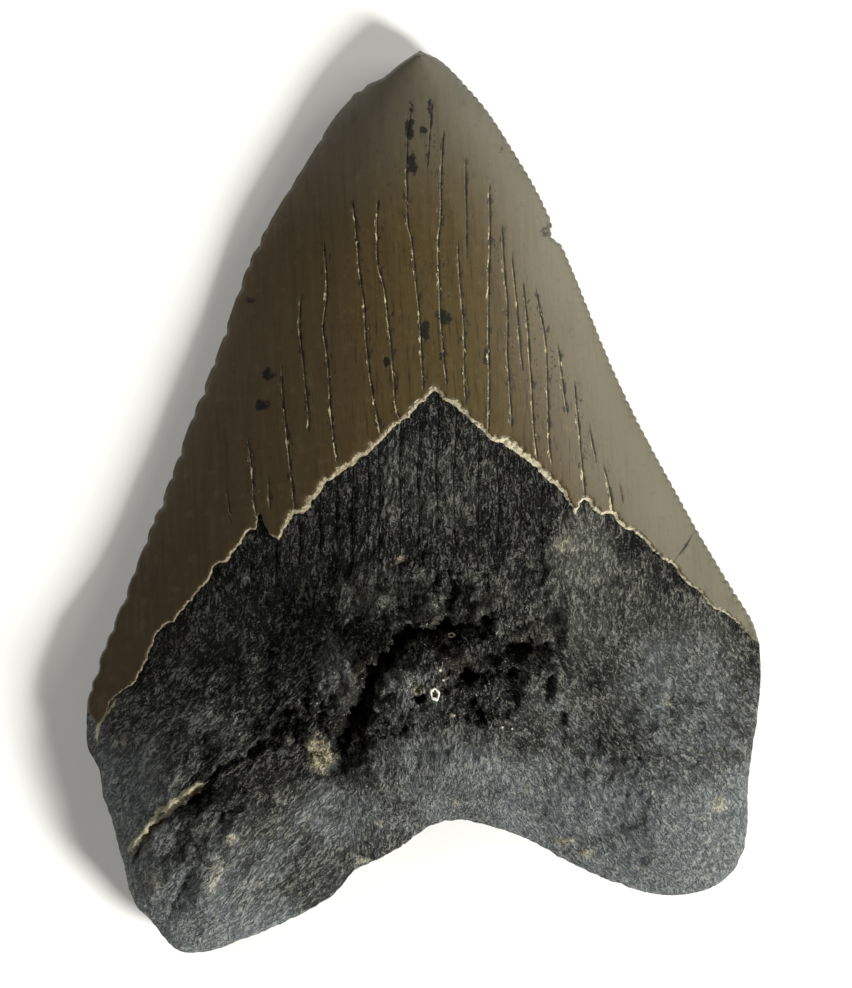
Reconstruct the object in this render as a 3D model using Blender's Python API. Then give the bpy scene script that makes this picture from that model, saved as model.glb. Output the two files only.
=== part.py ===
"""A fossil megalodon tooth, lying on its flatter outer face with the tip toward +Y.

The tooth is one solid. Its outline is drawn in plan: two serrated cutting edges that meet at the tip, and a
root with two lobes around a basal notch. Two sheets share that outline. The upper sheet is the bulging inner
face: the smooth enamel, the bare band below its V-shaped edge, and the eroded root. The lower sheet is the
flatter outer face, which meets the ground at three worn flats.
"""

import math

import bpy
import numpy as np
from mathutils import Vector, noise
from mathutils.geometry import delaunay_2d_cdt

# Driving dimensions. Every other length is in millimetres, drawn for a tooth of this length.
LENGTH = 0.110  # metres, tip to the end of the longer lobe, measured along Y
SERRATION_PITCH = 1.0
SERRATION_DEPTH = 0.34
ENAMEL_STEP = 0.5  # the enamel stands this far above the bare band
ROOT_SIDE_RADIUS = 6.5  # how the root rounds over, from its side line up to its inner face
ROOT_BACK_RADIUS = 4.5
CELL = 0.71  # the finest spacing of the surface's points
CROWN_ROUNDNESS = 0.82  # 1 gives the crown a parabola's cross-section, less makes it fuller at the sides
SHARP_ANGLE = 50  # degrees; a steeper fold between two triangles is shaded as an edge

# The outline, clockwise from the tip: (x, y) control points of smooth curves.
TIP = (-0.5, 55.0)
RIGHT_EDGE = (
    TIP, (2.1, 53.7), (4.6, 51.3), (7.7, 47.7), (10.9, 42.8), (13.8, 37.9), (16.4, 32.3), (19.2, 25.7),
    (21.8, 19.2), (24.3, 13.5), (27.4, 7.3), (30.7, 1.3), (34.1, -4.8), (37.8, -10.9), (40.0, -14.5),
    (40.9, -17.4),
)
RIGHT_SHOULDER = RIGHT_EDGE[-1]
LEFT_SHOULDER = (-41.0, -24.3)
ROOT_EDGE = (
    RIGHT_SHOULDER, (41.0, -21.8), (40.6, -26.1), (39.9, -30.6), (39.4, -35.2), (39.4, -39.1),
    (38.8, -42.6), (37.4, -45.2), (34.6, -47.2), (30.2, -48.0), (25.9, -47.3), (21.5, -45.7),
    (17.2, -43.7), (12.9, -41.3), (8.3, -39.6), (4.4, -38.8), (0.7, -39.6), (-2.9, -42.1), (-6.0, -43.8),
    (-8.3, -44.8), (-9.1, -45.6), (-10.2, -47.0), (-11.7, -48.4), (-14.5, -50.0), (-18.2, -51.8),
    (-22.4, -53.5), (-25.9, -54.7), (-28.5, -55.0), (-30.1, -54.6), (-31.6, -53.2), (-33.2, -51.1),
    (-34.9, -49.4), (-35.8, -47.3), (-36.6, -44.0), (-37.4, -41.3), (-37.9, -39.1), (-39.0, -35.9),
    (-39.6, -32.6), (-40.9, -30.1), (-41.1, -27.6), LEFT_SHOULDER,
)
LEFT_EDGE = (
    LEFT_SHOULDER, (-39.9, -20.2), (-38.2, -15.8), (-36.3, -10.9), (-34.5, -6.2), (-32.8, -1.6),
    (-30.8, 3.3), (-29.0, 8.5), (-27.1, 13.4), (-25.1, 18.5), (-23.5, 23.3), (-22.0, 27.6), (-20.5, 31.1),
    (-18.8, 34.2), (-16.6, 37.9), (-14.0, 42.0), (-11.2, 46.5), (-9.0, 49.1), (-8.0, 50.5), (-5.2, 51.6),
    (-2.9, 53.4), TIP,
)
# Chips out of the cutting edges: (x, y, radius, depth)
CHIPS = (
    (-17.1, 38.7, 0.9, 0.7), (-20.7, 31.6, 0.8, 0.8), (-22.3, 25.9, 0.9, 0.7), (-24.3, 20.6, 0.7, 0.5),
    (-26.9, 13.1, 1.0, 0.8), (-29.8, 5.8, 0.7, 0.5), (-32.1, -0.4, 1.1, 0.8), (-34.0, -5.0, 0.7, 0.5),
    (-36.2, -12.0, 1.1, 0.9), (-37.6, -15.7, 1.0, 0.8), (-39.9, -20.6, 1.2, 0.9), (-8.1, 50.9, 0.9, 0.6),
    (16.1, 32.5, 1.0, 0.7),
)

# Height of the side line, where the two sheets meet, against y.
SIDE_LINE = ((-56, 5.4), (-40, 5.6), (-27, 5.2), (-18, 4.0), (-8, 3.0), (5, 2.5), (22, 2.3), (40, 2.6),
             (50, 2.9), (56, 3.1))
# Rise of the crown's middle above the side line, against y. It fades out under the root's own bulge.
CROWN_RISE = ((-50, 0.0), (-40, 3.0), (-30, 8.5), (-20, 11.8), (-10, 12.2), (0, 11.4), (12, 9.9),
              (24, 8.1), (36, 6.0), (46, 4.0), (51, 2.7), (56, 1.4))
# The root's inner face as mounds above the side line: (x, y, x radius, y radius, height)
MOUNDS = (
    (1.0, -20.0, 22.0, 10.5, 13.8),  # the central bulge
    (-26.0, -36.0, 13.0, 15.0, 8.6),
    (-27.5, -47.0, 9.5, 9.0, 6.6),
    (27.0, -33.0, 14.0, 12.0, 9.0),
    (31.0, -41.0, 9.0, 7.5, 6.2),
    (3.0, -33.0, 13.0, 7.0, 7.5),
)
MOUND_SHARPNESS = 3.0

# Height of the outer face's middle above the ground, against y, and where it comes down to a flat:
# (x, y, radius, fall)
OUTER_ARCH = ((-56, 0.9), (-45, 1.0), (-30, 1.8), (-15, 1.5), (0, 0.7), (12, 0.0), (22, -0.22), (32, 0.05),
              (45, 1.0), (56, 2.1))
REST_FLATS = ((-27.0, -44.5, 9.0, 1.35), (28.0, -39.0, 9.0, 1.65))
OUTER_HOLLOW = 0.0016  # how the outer face lifts away from its middle line, per square millimetre

# The V-shaped lower edge of the enamel on the inner face, from the left edge to the right one.
ENAMEL_LINE = (
    (-43.0, -25.6), (-39.4, -27.0), (-37.6, -24.3), (-35.1, -22.1), (-33.4, -18.6), (-31.7, -15.4),
    (-28.9, -12.8), (-27.1, -10.9), (-25.4, -8.2), (-22.4, -5.6), (-20.7, -3.6), (-19.5, -3.0),
    (-17.6, -4.9), (-16.7, -3.5), (-14.3, -1.7), (-11.3, 2.3), (-7.1, 5.2), (-3.2, 9.0), (-1.1, 10.5),
    (1.2, 13.0), (2.8, 11.8), (6.8, 8.3), (9.3, 6.6), (12.8, 4.3), (17.1, 0.1), (18.3, -1.8), (19.4, 0.0),
    (22.6, -1.8), (26.5, -4.9), (30.2, -8.0), (33.5, -11.3), (37.0, -14.0), (43.0, -18.6),
)
# On the outer face the enamel reaches further down, in a shallow arch.
OUTER_ENAMEL_LINE = (
    (-43.0, -27.5), (-36.0, -26.5), (-26.0, -21.5), (-14.0, -17.2), (0.0, -15.8), (14.0, -17.0),
    (26.0, -19.6), (35.0, -21.6), (43.0, -21.4),
)

# The root's relief. Channels: (points, width, depth), hollowed along a path.
CHANNELS = (
    (((2.4, -15.4), (-1.3, -16.3), (-3.9, -17.9), (-5.7, -20.0), (-7.1, -23.0), (-8.2, -25.2),
      (-9.6, -27.2)), 1.9, 2.6),
    (((2.8, -11.6), (2.9, -14.2)), 0.9, 1.2),
    (((-27.0, -34.8), (-24.0, -31.7), (-21.2, -30.6), (-19.1, -28.9), (-17.4, -26.7), (-14.4, -23.8)),
     0.9, 0.9),
    (((-30.2, -48.9), (-28.9, -46.1), (-27.8, -42.3), (-26.2, -40.1), (-24.0, -37.4)), 1.1, 0.9),
    (((-35.5, -43.3), (-33.8, -41.1), (-31.6, -38.6), (-28.9, -36.4), (-27.2, -35.6)), 0.9, 0.8),
    (((22.3, -31.0), (26.0, -31.4), (28.8, -32.6)), 0.8, 0.5),
    (((14.7, -7.2), (16.0, -18.0)), 0.8, 0.5),
)
# Pits: (x, y, x radius, y radius, depth). A negative depth is a lump.
PITS = (
    (-9.4, -29.3, 2.4, 2.0, 1.5), (-12.9, -30.6, 1.6, 2.4, -0.9), (7.3, -15.6, 1.2, 1.0, 1.3),
    (11.0, -18.2, 1.6, 1.1, 1.3), (5.2, -20.9, 1.2, 1.0, 1.3), (7.3, -23.9, 0.9, 1.9, 1.3),
    (5.5, -27.1, 1.1, 1.0, 1.1), (10.2, -24.4, 1.4, 1.2, 1.2), (15.9, -15.2, 1.8, 3.0, 0.9),
    (15.2, -22.7, 0.9, 1.7, 0.9), (16.7, -25.9, 1.0, 1.0, 0.7), (27.0, -27.3, 1.1, 1.0, 0.8),
    (-17.2, -45.0, 2.2, 2.0, 0.7), (-0.6, -23.5, 0.9, 0.9, 1.2), (0.8, -19.5, 2.0, 1.5, -0.7),
    (-5.0, -12.5, 1.8, 1.5, -0.6), (11.5, -21.5, 1.5, 1.2, -0.6),
)
LUMPS = ((6.5, 0.75), (3.2, 0.4))  # uneven wear of the root: (size, height)
OUTER_STEP = 0.3  # the enamel stands this far below the root on the outer face

# How the surface's points are spread
EDGE_SPACING = 1.25  # along the root's side
STEP_HALF = 0.3  # from the enamel's edge to the row of points on each side of it
DEEP = 0.55  # relief deeper than this gets the finest points
ROOM = 0.42  # the least room between the lattice and the outline, in lattice steps

ROOT_COLOUR = (0.075, 0.079, 0.078, 1.0)
ROOT_ROUGHNESS = 0.6


def clear_scene():
    for item in list(bpy.data.objects):
        bpy.data.objects.remove(item, do_unlink=True)


def curve_through(controls, spacing):
    """Points about `spacing` apart on a smooth curve through the control points, its last one left out."""
    pts = np.array(controls, float)
    ends = np.vstack((2 * pts[0] - pts[1], pts, 2 * pts[-1] - pts[-2]))
    run = []
    for p0, p1, p2, p3 in zip(ends, ends[1:], ends[2:], ends[3:]):
        t = np.linspace(0.0, 1.0, 24, endpoint=False)[:, None]
        run.append(0.5 * (2 * p1 + (p2 - p0) * t + (2 * p0 - 5 * p1 + 4 * p2 - p3) * t**2
                          + (3 * p1 - p0 - 3 * p2 + p3) * t**3))
    fine = np.vstack(run + [pts[-1:]])
    along = np.concatenate(([0.0], np.cumsum(np.linalg.norm(np.diff(fine, axis=0), axis=1))))
    count = max(2, round(along[-1] / spacing))
    at = np.linspace(0.0, along[-1], count, endpoint=False)
    return np.column_stack([np.interp(at, along, fine[:, k]) for k in (0, 1)])


def profile(stations, y):
    """A smooth curve through (y, height) stations, read at y."""
    fine = curve_through(stations, 0.25)
    return np.interp(y, fine[:, 0], fine[:, 1])


def smooth(low, high, value):
    t = np.clip((value - low) / (high - low), 0.0, 1.0)
    return t * t * (3.0 - 2.0 * t)


def distance_to_path(points, path):
    """The distance of each point to a run of straight stretches, and on which side: + on the left."""
    best = np.full(len(points), np.inf)
    side = np.ones(len(points))
    for a, b in zip(path, path[1:]):
        run = b - a
        offset = points - a
        t = np.clip(offset @ run / max(run @ run, 1e-12), 0.0, 1.0)
        gap = np.linalg.norm(offset - t[:, None] * run, axis=1)
        nearer = gap < best
        turn = run[0] * offset[:, 1] - run[1] * offset[:, 0]
        best = np.where(nearer, gap, best)
        side = np.where(nearer, np.where(turn >= 0, 1.0, -1.0), side)
    return best, side


def inside(points, loop):
    """Whether each point lies inside the closed loop."""
    odd = np.zeros(len(points), bool)
    for a, b in zip(loop, np.roll(loop, -1, axis=0)):
        if a[1] == b[1]:
            continue
        crosses = (a[1] > points[:, 1]) != (b[1] > points[:, 1])
        at = a[0] + (points[:, 1] - a[1]) * (b[0] - a[0]) / (b[1] - a[1])
        odd ^= crosses & (points[:, 0] < at)
    return odd


def pushed_in(points, depth):
    """The run of points, moved inward (to the right of its clockwise course) by depth."""
    course = np.gradient(points, axis=0)
    course /= np.linalg.norm(course, axis=1)[:, None]
    inward = np.column_stack((course[:, 1], -course[:, 0]))
    return points + inward * depth[:, None]


def cutting_edge(controls):
    """One cutting edge: a notch between every two serrations, and the chips."""
    points = curve_through(controls, SERRATION_PITCH / 2)
    depth = np.where(np.arange(len(points)) % 2 == 1, SERRATION_DEPTH, 0.0)
    for x, y, radius, bite in CHIPS:
        reach = np.hypot(points[:, 0] - x, points[:, 1] - y) / radius
        depth += bite * np.exp(-reach**2)
    depth[:2] = 0.0
    return pushed_in(points, depth)


def outline():
    """The closed outline, clockwise from the tip."""
    right = cutting_edge(RIGHT_EDGE)
    root = curve_through(ROOT_EDGE, EDGE_SPACING)
    left = cutting_edge(LEFT_EDGE)
    return np.vstack((right, root, left))


def crown_section(points):
    """1 along the crown's middle line, falling to 0 at its two edges."""
    left = curve_through(LEFT_EDGE, 1.0)
    right = curve_through(RIGHT_EDGE, 1.0)[::-1]
    x, y = points[:, 0], points[:, 1]
    to_left = np.clip(x - np.interp(y, left[:, 1], left[:, 0]), 0.0, None)
    to_right = np.clip(np.interp(y, right[:, 1], right[:, 0]) - x, 0.0, None)
    across = np.maximum(to_left + to_right, 3.0)
    return np.clip(4.0 * to_left * to_right / across**2, 0.0, 1.0)


def side_height(points):
    return profile(SIDE_LINE, points[:, 1])


def root_share(points):
    """0 on the crown, 1 on the root: where the edge turns from a blade into a rounded side."""
    y_turn = -19.0 - 2.5 * np.tanh(-points[:, 0] / 20.0)
    return smooth(4.0, -4.0, points[:, 1] - y_turn)


def rounding(reach, radius):
    """A quarter circle: 0 at the side line, 1 once `radius` inside it."""
    left = 1.0 - np.clip(reach / radius, 0.0, 1.0)
    return np.sqrt(np.clip(1.0 - left * left, 0.0, 1.0))


def mounds(points):
    """The root's mounds, melted together, as a height above the side line."""
    total = np.zeros(len(points))
    for x, y, rx, ry, height in MOUNDS:
        reach = ((points[:, 0] - x) / rx) ** 2 + ((points[:, 1] - y) / ry) ** 2
        total += (height * np.exp(-reach)) ** MOUND_SHARPNESS
    return total ** (1.0 / MOUND_SHARPNESS)


def lumps(points):
    """Uneven wear, from smooth noise of a few sizes."""
    total = np.zeros(len(points))
    for size, height in LUMPS:
        total += height * np.array([noise.noise(Vector((x / size, y / size, size))) for x, y in points])
    return total


def relief(points):
    """The root's channels, pits and lumps: how far its face is lowered."""
    low = np.zeros(len(points))
    for path, width, depth in CHANNELS:
        gap, _ = distance_to_path(points, np.array(path))
        low += depth * np.exp(-((gap / width) ** 2))
    for x, y, rx, ry, depth in PITS:
        reach = ((points[:, 0] - x) / rx) ** 2 + ((points[:, 1] - y) / ry) ** 2
        low += depth * np.exp(-reach * reach)
    return low


def enamel_step(points, line, width):
    """0 below the enamel's edge, 1 above it, and how far above it the point lies."""
    gap, side = distance_to_path(points, curve_through(line, 0.7))
    above = gap * side
    return smooth(-width, width, above), above


def upper_height(points, reach):
    """The inner face. `reach` is each point's distance to the outline."""
    section = crown_section(points)
    crown = profile(CROWN_RISE, points[:, 1]) * section**CROWN_ROUNDNESS
    share = root_share(points)
    body = (crown**MOUND_SHARPNESS + (mounds(points) * smooth(8.0, -16.0, points[:, 1])) ** MOUND_SHARPNESS)
    body = body ** (1.0 / MOUND_SHARPNESS)
    enamel, above = enamel_step(points, ENAMEL_LINE, 0.28)
    bare = smooth(-1.5, -9.0, above)
    body += ENAMEL_STEP * (enamel - 1.0) * smooth(0.3, 2.5, reach)
    body -= relief(points) * (1.0 - enamel)
    body += lumps(points) * bare * smooth(0.5, 4.0, reach)
    rounded = 1.0 - share * (1.0 - rounding(reach, ROOT_SIDE_RADIUS))
    blade = smooth(-0.2, 0.5, reach)
    return side_height(points) + np.maximum(body, 0.25) * rounded * (share + (1.0 - share) * blade)


def lower_height(points, reach):
    """The outer face, never below the ground."""
    section = crown_section(points)
    share = root_share(points)
    arch = profile(OUTER_ARCH, points[:, 1]) + OUTER_HOLLOW * points[:, 0] ** 2 * (1.0 - share)
    for x, y, radius, fall in REST_FLATS:
        arch -= fall * np.exp(-((points[:, 0] - x) ** 2 + (points[:, 1] - y) ** 2) / radius**2)
    enamel, _ = enamel_step(points, OUTER_ENAMEL_LINE, 0.5)
    arch += OUTER_STEP * (1.0 - enamel) * smooth(-30.0, -22.0, points[:, 1])
    side = side_height(points)
    crown_fall = section**0.6 * smooth(-0.2, 0.6, reach)
    root_fall = rounding(reach, ROOT_BACK_RADIUS)
    fall = (1.0 - share) * crown_fall + share * root_fall
    return np.maximum(side + (arch - side) * fall, 0.0)


def lattice(loop, cells):
    """Points inside the loop on a triangular lattice. `cells` gives each point's step: 1, 2 or 4 cells."""
    low = loop.min(axis=0) - CELL
    size = np.ceil((loop.max(axis=0) - low) / CELL).astype(int) + 2
    rise = math.sin(math.radians(60))
    row, column = np.mgrid[0:round(size[1] / rise), -size[1]:size[0]]
    row, column = row.ravel(), column.ravel()
    points = low + CELL * np.column_stack((column + row / 2, row * rise))
    near = (points[:, 0] < loop[:, 0].max()) & (points[:, 0] > low[0])
    row, column, points = row[near], column[near], points[near]
    step = cells(points)
    keep = (row % step == 0) & (column % step == 0) & inside(points, loop)
    points, step = points[keep], step[keep]
    reach, _ = distance_to_path(points, np.vstack((loop, loop[:1])))
    return points[reach > ROOM * CELL * step]


def upper_cells(points):
    """Fine around the cavity, the pits and the enamel's edge, coarse on the smooth enamel."""
    _, above = enamel_step(points, ENAMEL_LINE, STEP_HALF)
    step = np.where(above > 1.6, 4, 2)
    deep = relief(points) > DEEP
    return np.where(deep & (above < 0.0), 1, step)


def lower_cells(points):
    return np.full(len(points), 4)


def parallel(line, shift, spacing):
    """The enamel's edge moved sideways, for a crisp step: + is up, onto the enamel."""
    points = curve_through(line, spacing)
    return pushed_in(points, np.full(len(points), -shift))


def triangulated(loop, inner):
    """Triangles over the loop and the inner points, as triples of their indices."""
    flat = np.vstack((loop, inner))
    ring = list(range(len(loop)))[::-1]
    result = delaunay_2d_cdt([Vector(point) for point in flat.tolist()], [], [ring], 1, 1e-5)
    index = np.array([source[0] for source in result[3]])
    return index[np.array(result[2])]


def chords(faces, count):
    """The triangles' edges that run between two of the outline's points and aren't part of it."""
    edges = np.vstack((faces[:, (0, 1)], faces[:, (1, 2)], faces[:, (2, 0)]))
    edges = np.unique(np.sort(edges[(edges < count).all(axis=1)], axis=1), axis=0)
    steps = edges[:, 1] - edges[:, 0]
    return edges[(steps != 1) & (steps != count - 1)]


def sheet(loop, inner, heights):
    """One sheet's inner points, with their heights, and its triangles.

    An edge from one point of the outline to another, as across each serration, would lie in both sheets at
    once, so its middle becomes a point of the sheet's own.
    """
    faces = triangulated(loop, inner)
    across = chords(faces, len(loop))
    while len(across):
        inner = np.vstack((inner, loop[across].mean(axis=1)))
        faces = triangulated(loop, inner)
        across = chords(faces, len(loop))
    reach, _ = distance_to_path(inner, np.vstack((loop, loop[:1])))
    return np.column_stack((inner, heights(inner, reach))), faces


def beside(controls, spacing, shift):
    """A row of points beside a stretch of the outline, `shift` inside it."""
    points = curve_through(controls, spacing)
    return pushed_in(points, np.full(len(points), shift))[1:]


def blade_rows():
    """Rows that carry the thin cutting edges over from the serrations to the broad faces."""
    edges = (RIGHT_EDGE, LEFT_EDGE)
    return [beside(edge, spacing, shift) for edge in edges for spacing, shift in ((1.0, 1.0), (1.8, 2.3))]


def upper_points(loop):
    """The lattice, with rows on both sides of the enamel's edge, along the blades and on the rounded side."""
    rows = [parallel(ENAMEL_LINE, shift, 1.0) for shift in (STEP_HALF, -STEP_HALF)]
    rows += [beside(ROOT_EDGE, EDGE_SPACING, share * ROOT_SIDE_RADIUS) for share in (0.06, 0.24)]
    return merged(loop, lattice(loop, upper_cells), rows + blade_rows())


def lower_points(loop):
    rows = [beside(ROOT_EDGE, 1.5, 0.12 * ROOT_BACK_RADIUS)]
    return merged(loop, lattice(loop, lower_cells), rows + blade_rows())


def merged(loop, inner, rows):
    """Adds rows of points, and drops what would crowd them."""
    closed = np.vstack((loop, loop[:1]))
    for row in rows:
        gap_edge, _ = distance_to_path(row, closed)
        row = row[inside(row, loop) & (gap_edge > 0.25)]
        gap = np.array([np.hypot(*(row - point).T).min() for point in inner])
        inner = np.vstack((inner[gap > 0.5], row))
    return inner


def build_mesh():
    """The two sheets on one outline, as one closed mesh centred over its lowest point."""
    loop = outline()
    upper = sheet(loop, upper_points(loop), upper_height)
    lower = sheet(loop, lower_points(loop), lower_height)
    rim = np.column_stack((loop, side_height(loop)))
    verts = np.vstack((rim, upper[0], lower[0]))
    below = np.where(lower[1] < len(loop), lower[1], lower[1] + len(upper[0]))[:, ::-1]
    faces = np.vstack((upper[1], below))
    low, high = verts.min(axis=0), verts.max(axis=0)
    verts -= ((low[0] + high[0]) / 2, (low[1] + high[1]) / 2, 0.0)
    verts *= LENGTH / (high[1] - low[1])
    mesh = bpy.data.meshes.new("tooth")
    mesh.from_pydata(verts.tolist(), [], faces.tolist())
    mesh.validate()
    mesh.shade_smooth()
    mesh.set_sharp_from_angle(angle=math.radians(SHARP_ANGLE))
    return mesh


def fossil_material():
    material = bpy.data.materials.new("fossil")
    material.use_nodes = True
    shader = material.node_tree.nodes["Principled BSDF"]
    shader.inputs["Base Color"].default_value = ROOT_COLOUR
    shader.inputs["Roughness"].default_value = ROOT_ROUGHNESS
    shader.inputs["Metallic"].default_value = 0.0
    return material


def main():
    clear_scene()
    mesh = build_mesh()
    mesh.materials.append(fossil_material())
    tooth = bpy.data.objects.new("tooth", mesh)
    bpy.context.scene.collection.objects.link(tooth)


main()
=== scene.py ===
"""A fossil megalodon tooth lying on a pale floor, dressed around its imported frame.

Two closed pieces stand for the frame's one node: the enamel crown, and the root with the bare band under the
enamel. Each has an upper and a lower sheet over one outline in plan. The sheets' broad shape is worked out
here from much the same named values as the solid's. Geometry Nodes then cut the serrations and the cracks,
raise the grain, and scatter the third piece, the sediment caught in the root.
"""

import math

import bmesh
import bpy
import numpy as np
from bpy.props import FloatProperty, FloatVectorProperty, IntProperty, PointerProperty
from mathutils import Euler, Matrix, Vector
from mathutils.geometry import delaunay_2d_cdt
from mathutils.kdtree import KDTree


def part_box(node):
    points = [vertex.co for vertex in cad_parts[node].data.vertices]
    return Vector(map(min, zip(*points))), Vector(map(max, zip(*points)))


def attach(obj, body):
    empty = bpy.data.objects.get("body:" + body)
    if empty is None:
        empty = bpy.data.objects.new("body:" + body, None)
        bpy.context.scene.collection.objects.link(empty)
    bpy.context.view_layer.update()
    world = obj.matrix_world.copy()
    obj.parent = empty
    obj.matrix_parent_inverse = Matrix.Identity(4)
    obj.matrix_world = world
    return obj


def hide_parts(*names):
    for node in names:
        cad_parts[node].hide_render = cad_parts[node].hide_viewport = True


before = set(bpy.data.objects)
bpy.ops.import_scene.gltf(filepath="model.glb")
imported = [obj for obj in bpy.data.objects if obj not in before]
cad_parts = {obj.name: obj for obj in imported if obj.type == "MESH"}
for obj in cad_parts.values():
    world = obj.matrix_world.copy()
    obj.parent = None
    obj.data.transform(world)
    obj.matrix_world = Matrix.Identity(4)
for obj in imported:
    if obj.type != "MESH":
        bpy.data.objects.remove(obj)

bl_info = {
    "name": "Fossil tooth",
    "version": (1, 0, 0),
    "blender": (4, 5, 0),
    "location": "3D View > Sidebar > Fossil tooth",
    "description": "Builds a fossil megalodon tooth, its finishes and its stage",
    "category": "Object",
}

NODE = "tooth"
BODY = "root"
DRAWN_LENGTH = 110.0  # the tooth's length in the millimetres that the shapes below are drawn in
CAD_LOW, CAD_HIGH = (Vector(corner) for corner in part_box(NODE))
UNIT = (CAD_HIGH.y - CAD_LOW.y) / DRAWN_LENGTH  # metres in one drawn millimetre
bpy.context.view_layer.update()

# ---------------------------------------------------------------------------------------------------------
# The tooth's shape, in drawn millimetres: x across, y toward the tip, z up out of the inner face.

TIP = (-0.5, 55.0)
RIGHT_EDGE = (
    TIP, (2.1, 53.7), (4.6, 51.3), (7.7, 47.7), (10.9, 42.8), (13.8, 37.9), (16.4, 32.3), (19.2, 25.7),
    (21.8, 19.2), (24.3, 13.5), (27.4, 7.3), (30.7, 1.3), (34.1, -4.8), (37.8, -10.9), (40.0, -14.5),
    (40.9, -17.4),
)
RIGHT_SHOULDER = RIGHT_EDGE[-1]
LEFT_SHOULDER = (-41.0, -24.3)
ROOT_EDGE = (
    RIGHT_SHOULDER, (41.0, -21.8), (40.6, -26.1), (39.9, -30.6), (39.4, -35.2), (39.4, -39.1),
    (38.8, -42.6), (37.4, -45.2), (34.6, -47.2), (30.2, -48.0), (25.9, -47.3), (21.5, -45.7),
    (17.2, -43.7), (12.9, -41.3), (8.3, -39.6), (4.4, -38.8), (0.7, -39.6), (-2.9, -42.1), (-6.0, -43.8),
    (-8.3, -44.8), (-9.1, -45.6), (-10.2, -47.0), (-11.7, -48.4), (-14.5, -50.0), (-18.2, -51.8),
    (-22.4, -53.5), (-25.9, -54.7), (-28.5, -55.0), (-30.1, -54.6), (-31.6, -53.2), (-33.2, -51.1),
    (-34.9, -49.4), (-35.8, -47.3), (-36.6, -44.0), (-37.4, -41.3), (-37.9, -39.1), (-39.0, -35.9),
    (-39.6, -32.6), (-40.9, -30.1), (-41.1, -27.6), LEFT_SHOULDER,
)
LEFT_EDGE = (
    LEFT_SHOULDER, (-39.9, -20.2), (-38.2, -15.8), (-36.3, -10.9), (-34.5, -6.2), (-32.8, -1.6),
    (-30.8, 3.3), (-29.0, 8.5), (-27.1, 13.4), (-25.1, 18.5), (-23.5, 23.3), (-22.0, 27.6), (-20.5, 31.1),
    (-18.8, 34.2), (-16.6, 37.9), (-14.0, 42.0), (-11.2, 46.5), (-9.0, 49.1), (-8.0, 50.5), (-5.2, 51.6),
    (-2.9, 53.4), TIP,
)
# The left edge as it ran before its tip was knocked off, which the crown's cross-sections follow
LEFT_RUN = LEFT_EDGE[:17] + ((-7.9, 50.4), (-4.6, 53.2), TIP)
# Chips out of the cutting edges: (x, y, radius, depth)
CHIPS = (
    (-17.1, 38.7, 0.8, 0.35), (-20.7, 31.6, 0.7, 0.4), (-22.3, 25.9, 0.7, 0.3), (-24.3, 20.6, 0.6, 0.3),
    (-26.9, 13.1, 0.7, 0.45), (-29.8, 5.8, 0.6, 0.3), (-32.1, -0.4, 0.9, 0.45), (-34.0, -5.0, 0.6, 0.25),
    (-36.2, -12.0, 0.8, 0.45), (-37.6, -15.7, 0.7, 0.35), (-39.9, -20.6, 0.9, 0.4), (-8.1, 50.9, 0.9, 0.6),
    (16.1, 32.5, 1.0, 0.7), (-12.9, 44.4, 0.5, 0.25), (-15.2, 41.0, 0.5, 0.2), (-19.6, 33.6, 0.5, 0.2),
    (-21.6, 28.9, 0.5, 0.2), (-28.2, 10.4, 0.6, 0.2), (-31.0, 3.0, 0.5, 0.2), (-35.2, -8.6, 0.6, 0.2),
    (-38.6, -17.9, 0.6, 0.25), (-33.1, -2.6, 0.5, 0.2), (-25.7, 16.8, 0.5, 0.2), (-40.6, -22.9, 0.5, 0.2),
)
# How high the tooth's side line runs, as (y, height)
SIDE_LINE = ((-56, 5.4), (-40, 5.6), (-27, 5.2), (-18, 4.0), (-8, 3.0), (5, 2.5), (22, 2.3), (40, 2.6),
             (50, 2.9), (56, 3.1))
# How far the crown's middle rises over the side line, as (y, height)
CROWN_RISE = ((-50, 0.0), (-40, 3.0), (-30, 8.5), (-20, 11.8), (-10, 12.2), (0, 11.4), (12, 9.9),
              (24, 8.1), (36, 6.0), (46, 4.0), (51, 2.7), (56, 1.4))
CROWN_ROUNDNESS = 0.95  # 1 gives the crown a parabola's cross-section, less makes it fuller at the sides
LEAST_RISE = 0.12  # how thick the thinnest part is over the side line
# The root's broad forms: (x, y, x radius, y radius, height), blended with each other and the crown
MOUNDS = (
    (1.0, -20.0, 22.0, 10.5, 13.8), (-26.0, -36.0, 13.0, 15.0, 8.6), (-27.5, -47.0, 9.5, 9.0, 6.6),
    (27.0, -33.0, 14.0, 12.0, 9.0), (31.0, -41.0, 9.0, 7.5, 6.2), (3.0, -33.0, 13.0, 7.0, 7.5),
)
MOUND_SHARPNESS = 3.0
# How high the outer face stands along its middle line, as (y, height)
OUTER_ARCH = ((-56, 0.9), (-45, 1.0), (-30, 1.8), (-15, 1.5), (0, 0.7), (12, 0.0), (22, -0.22), (32, 0.05),
              (45, 1.0), (56, 2.1))
REST_FLATS = ((-27.0, -44.5, 9.0, 1.35), (28.0, -39.0, 9.0, 1.65))  # where it rests: (x, y, radius, fall)
OUTER_HOLLOW = 0.0016  # how the outer face lifts away from its middle line, per square millimetre
ROOT_SIDE_RADIUS = 6.5  # how far in from the root's side its inner face is rounded off
ROOT_BACK_RADIUS = 4.5  # the same on its outer face
LUMPS = ((6.5, 0.75), (3.2, 0.4), (1.7, 0.22))  # uneven wear of the root: (size, height)
OUTER_STEP = 0.3  # the enamel stands this far below the root on the outer face
OUTER_RIM = OUTER_STEP + 0.15  # how high the enamel's lower edge ends over the outer face
OUTER_BEVEL = 0.6  # how wide that edge is
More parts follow.
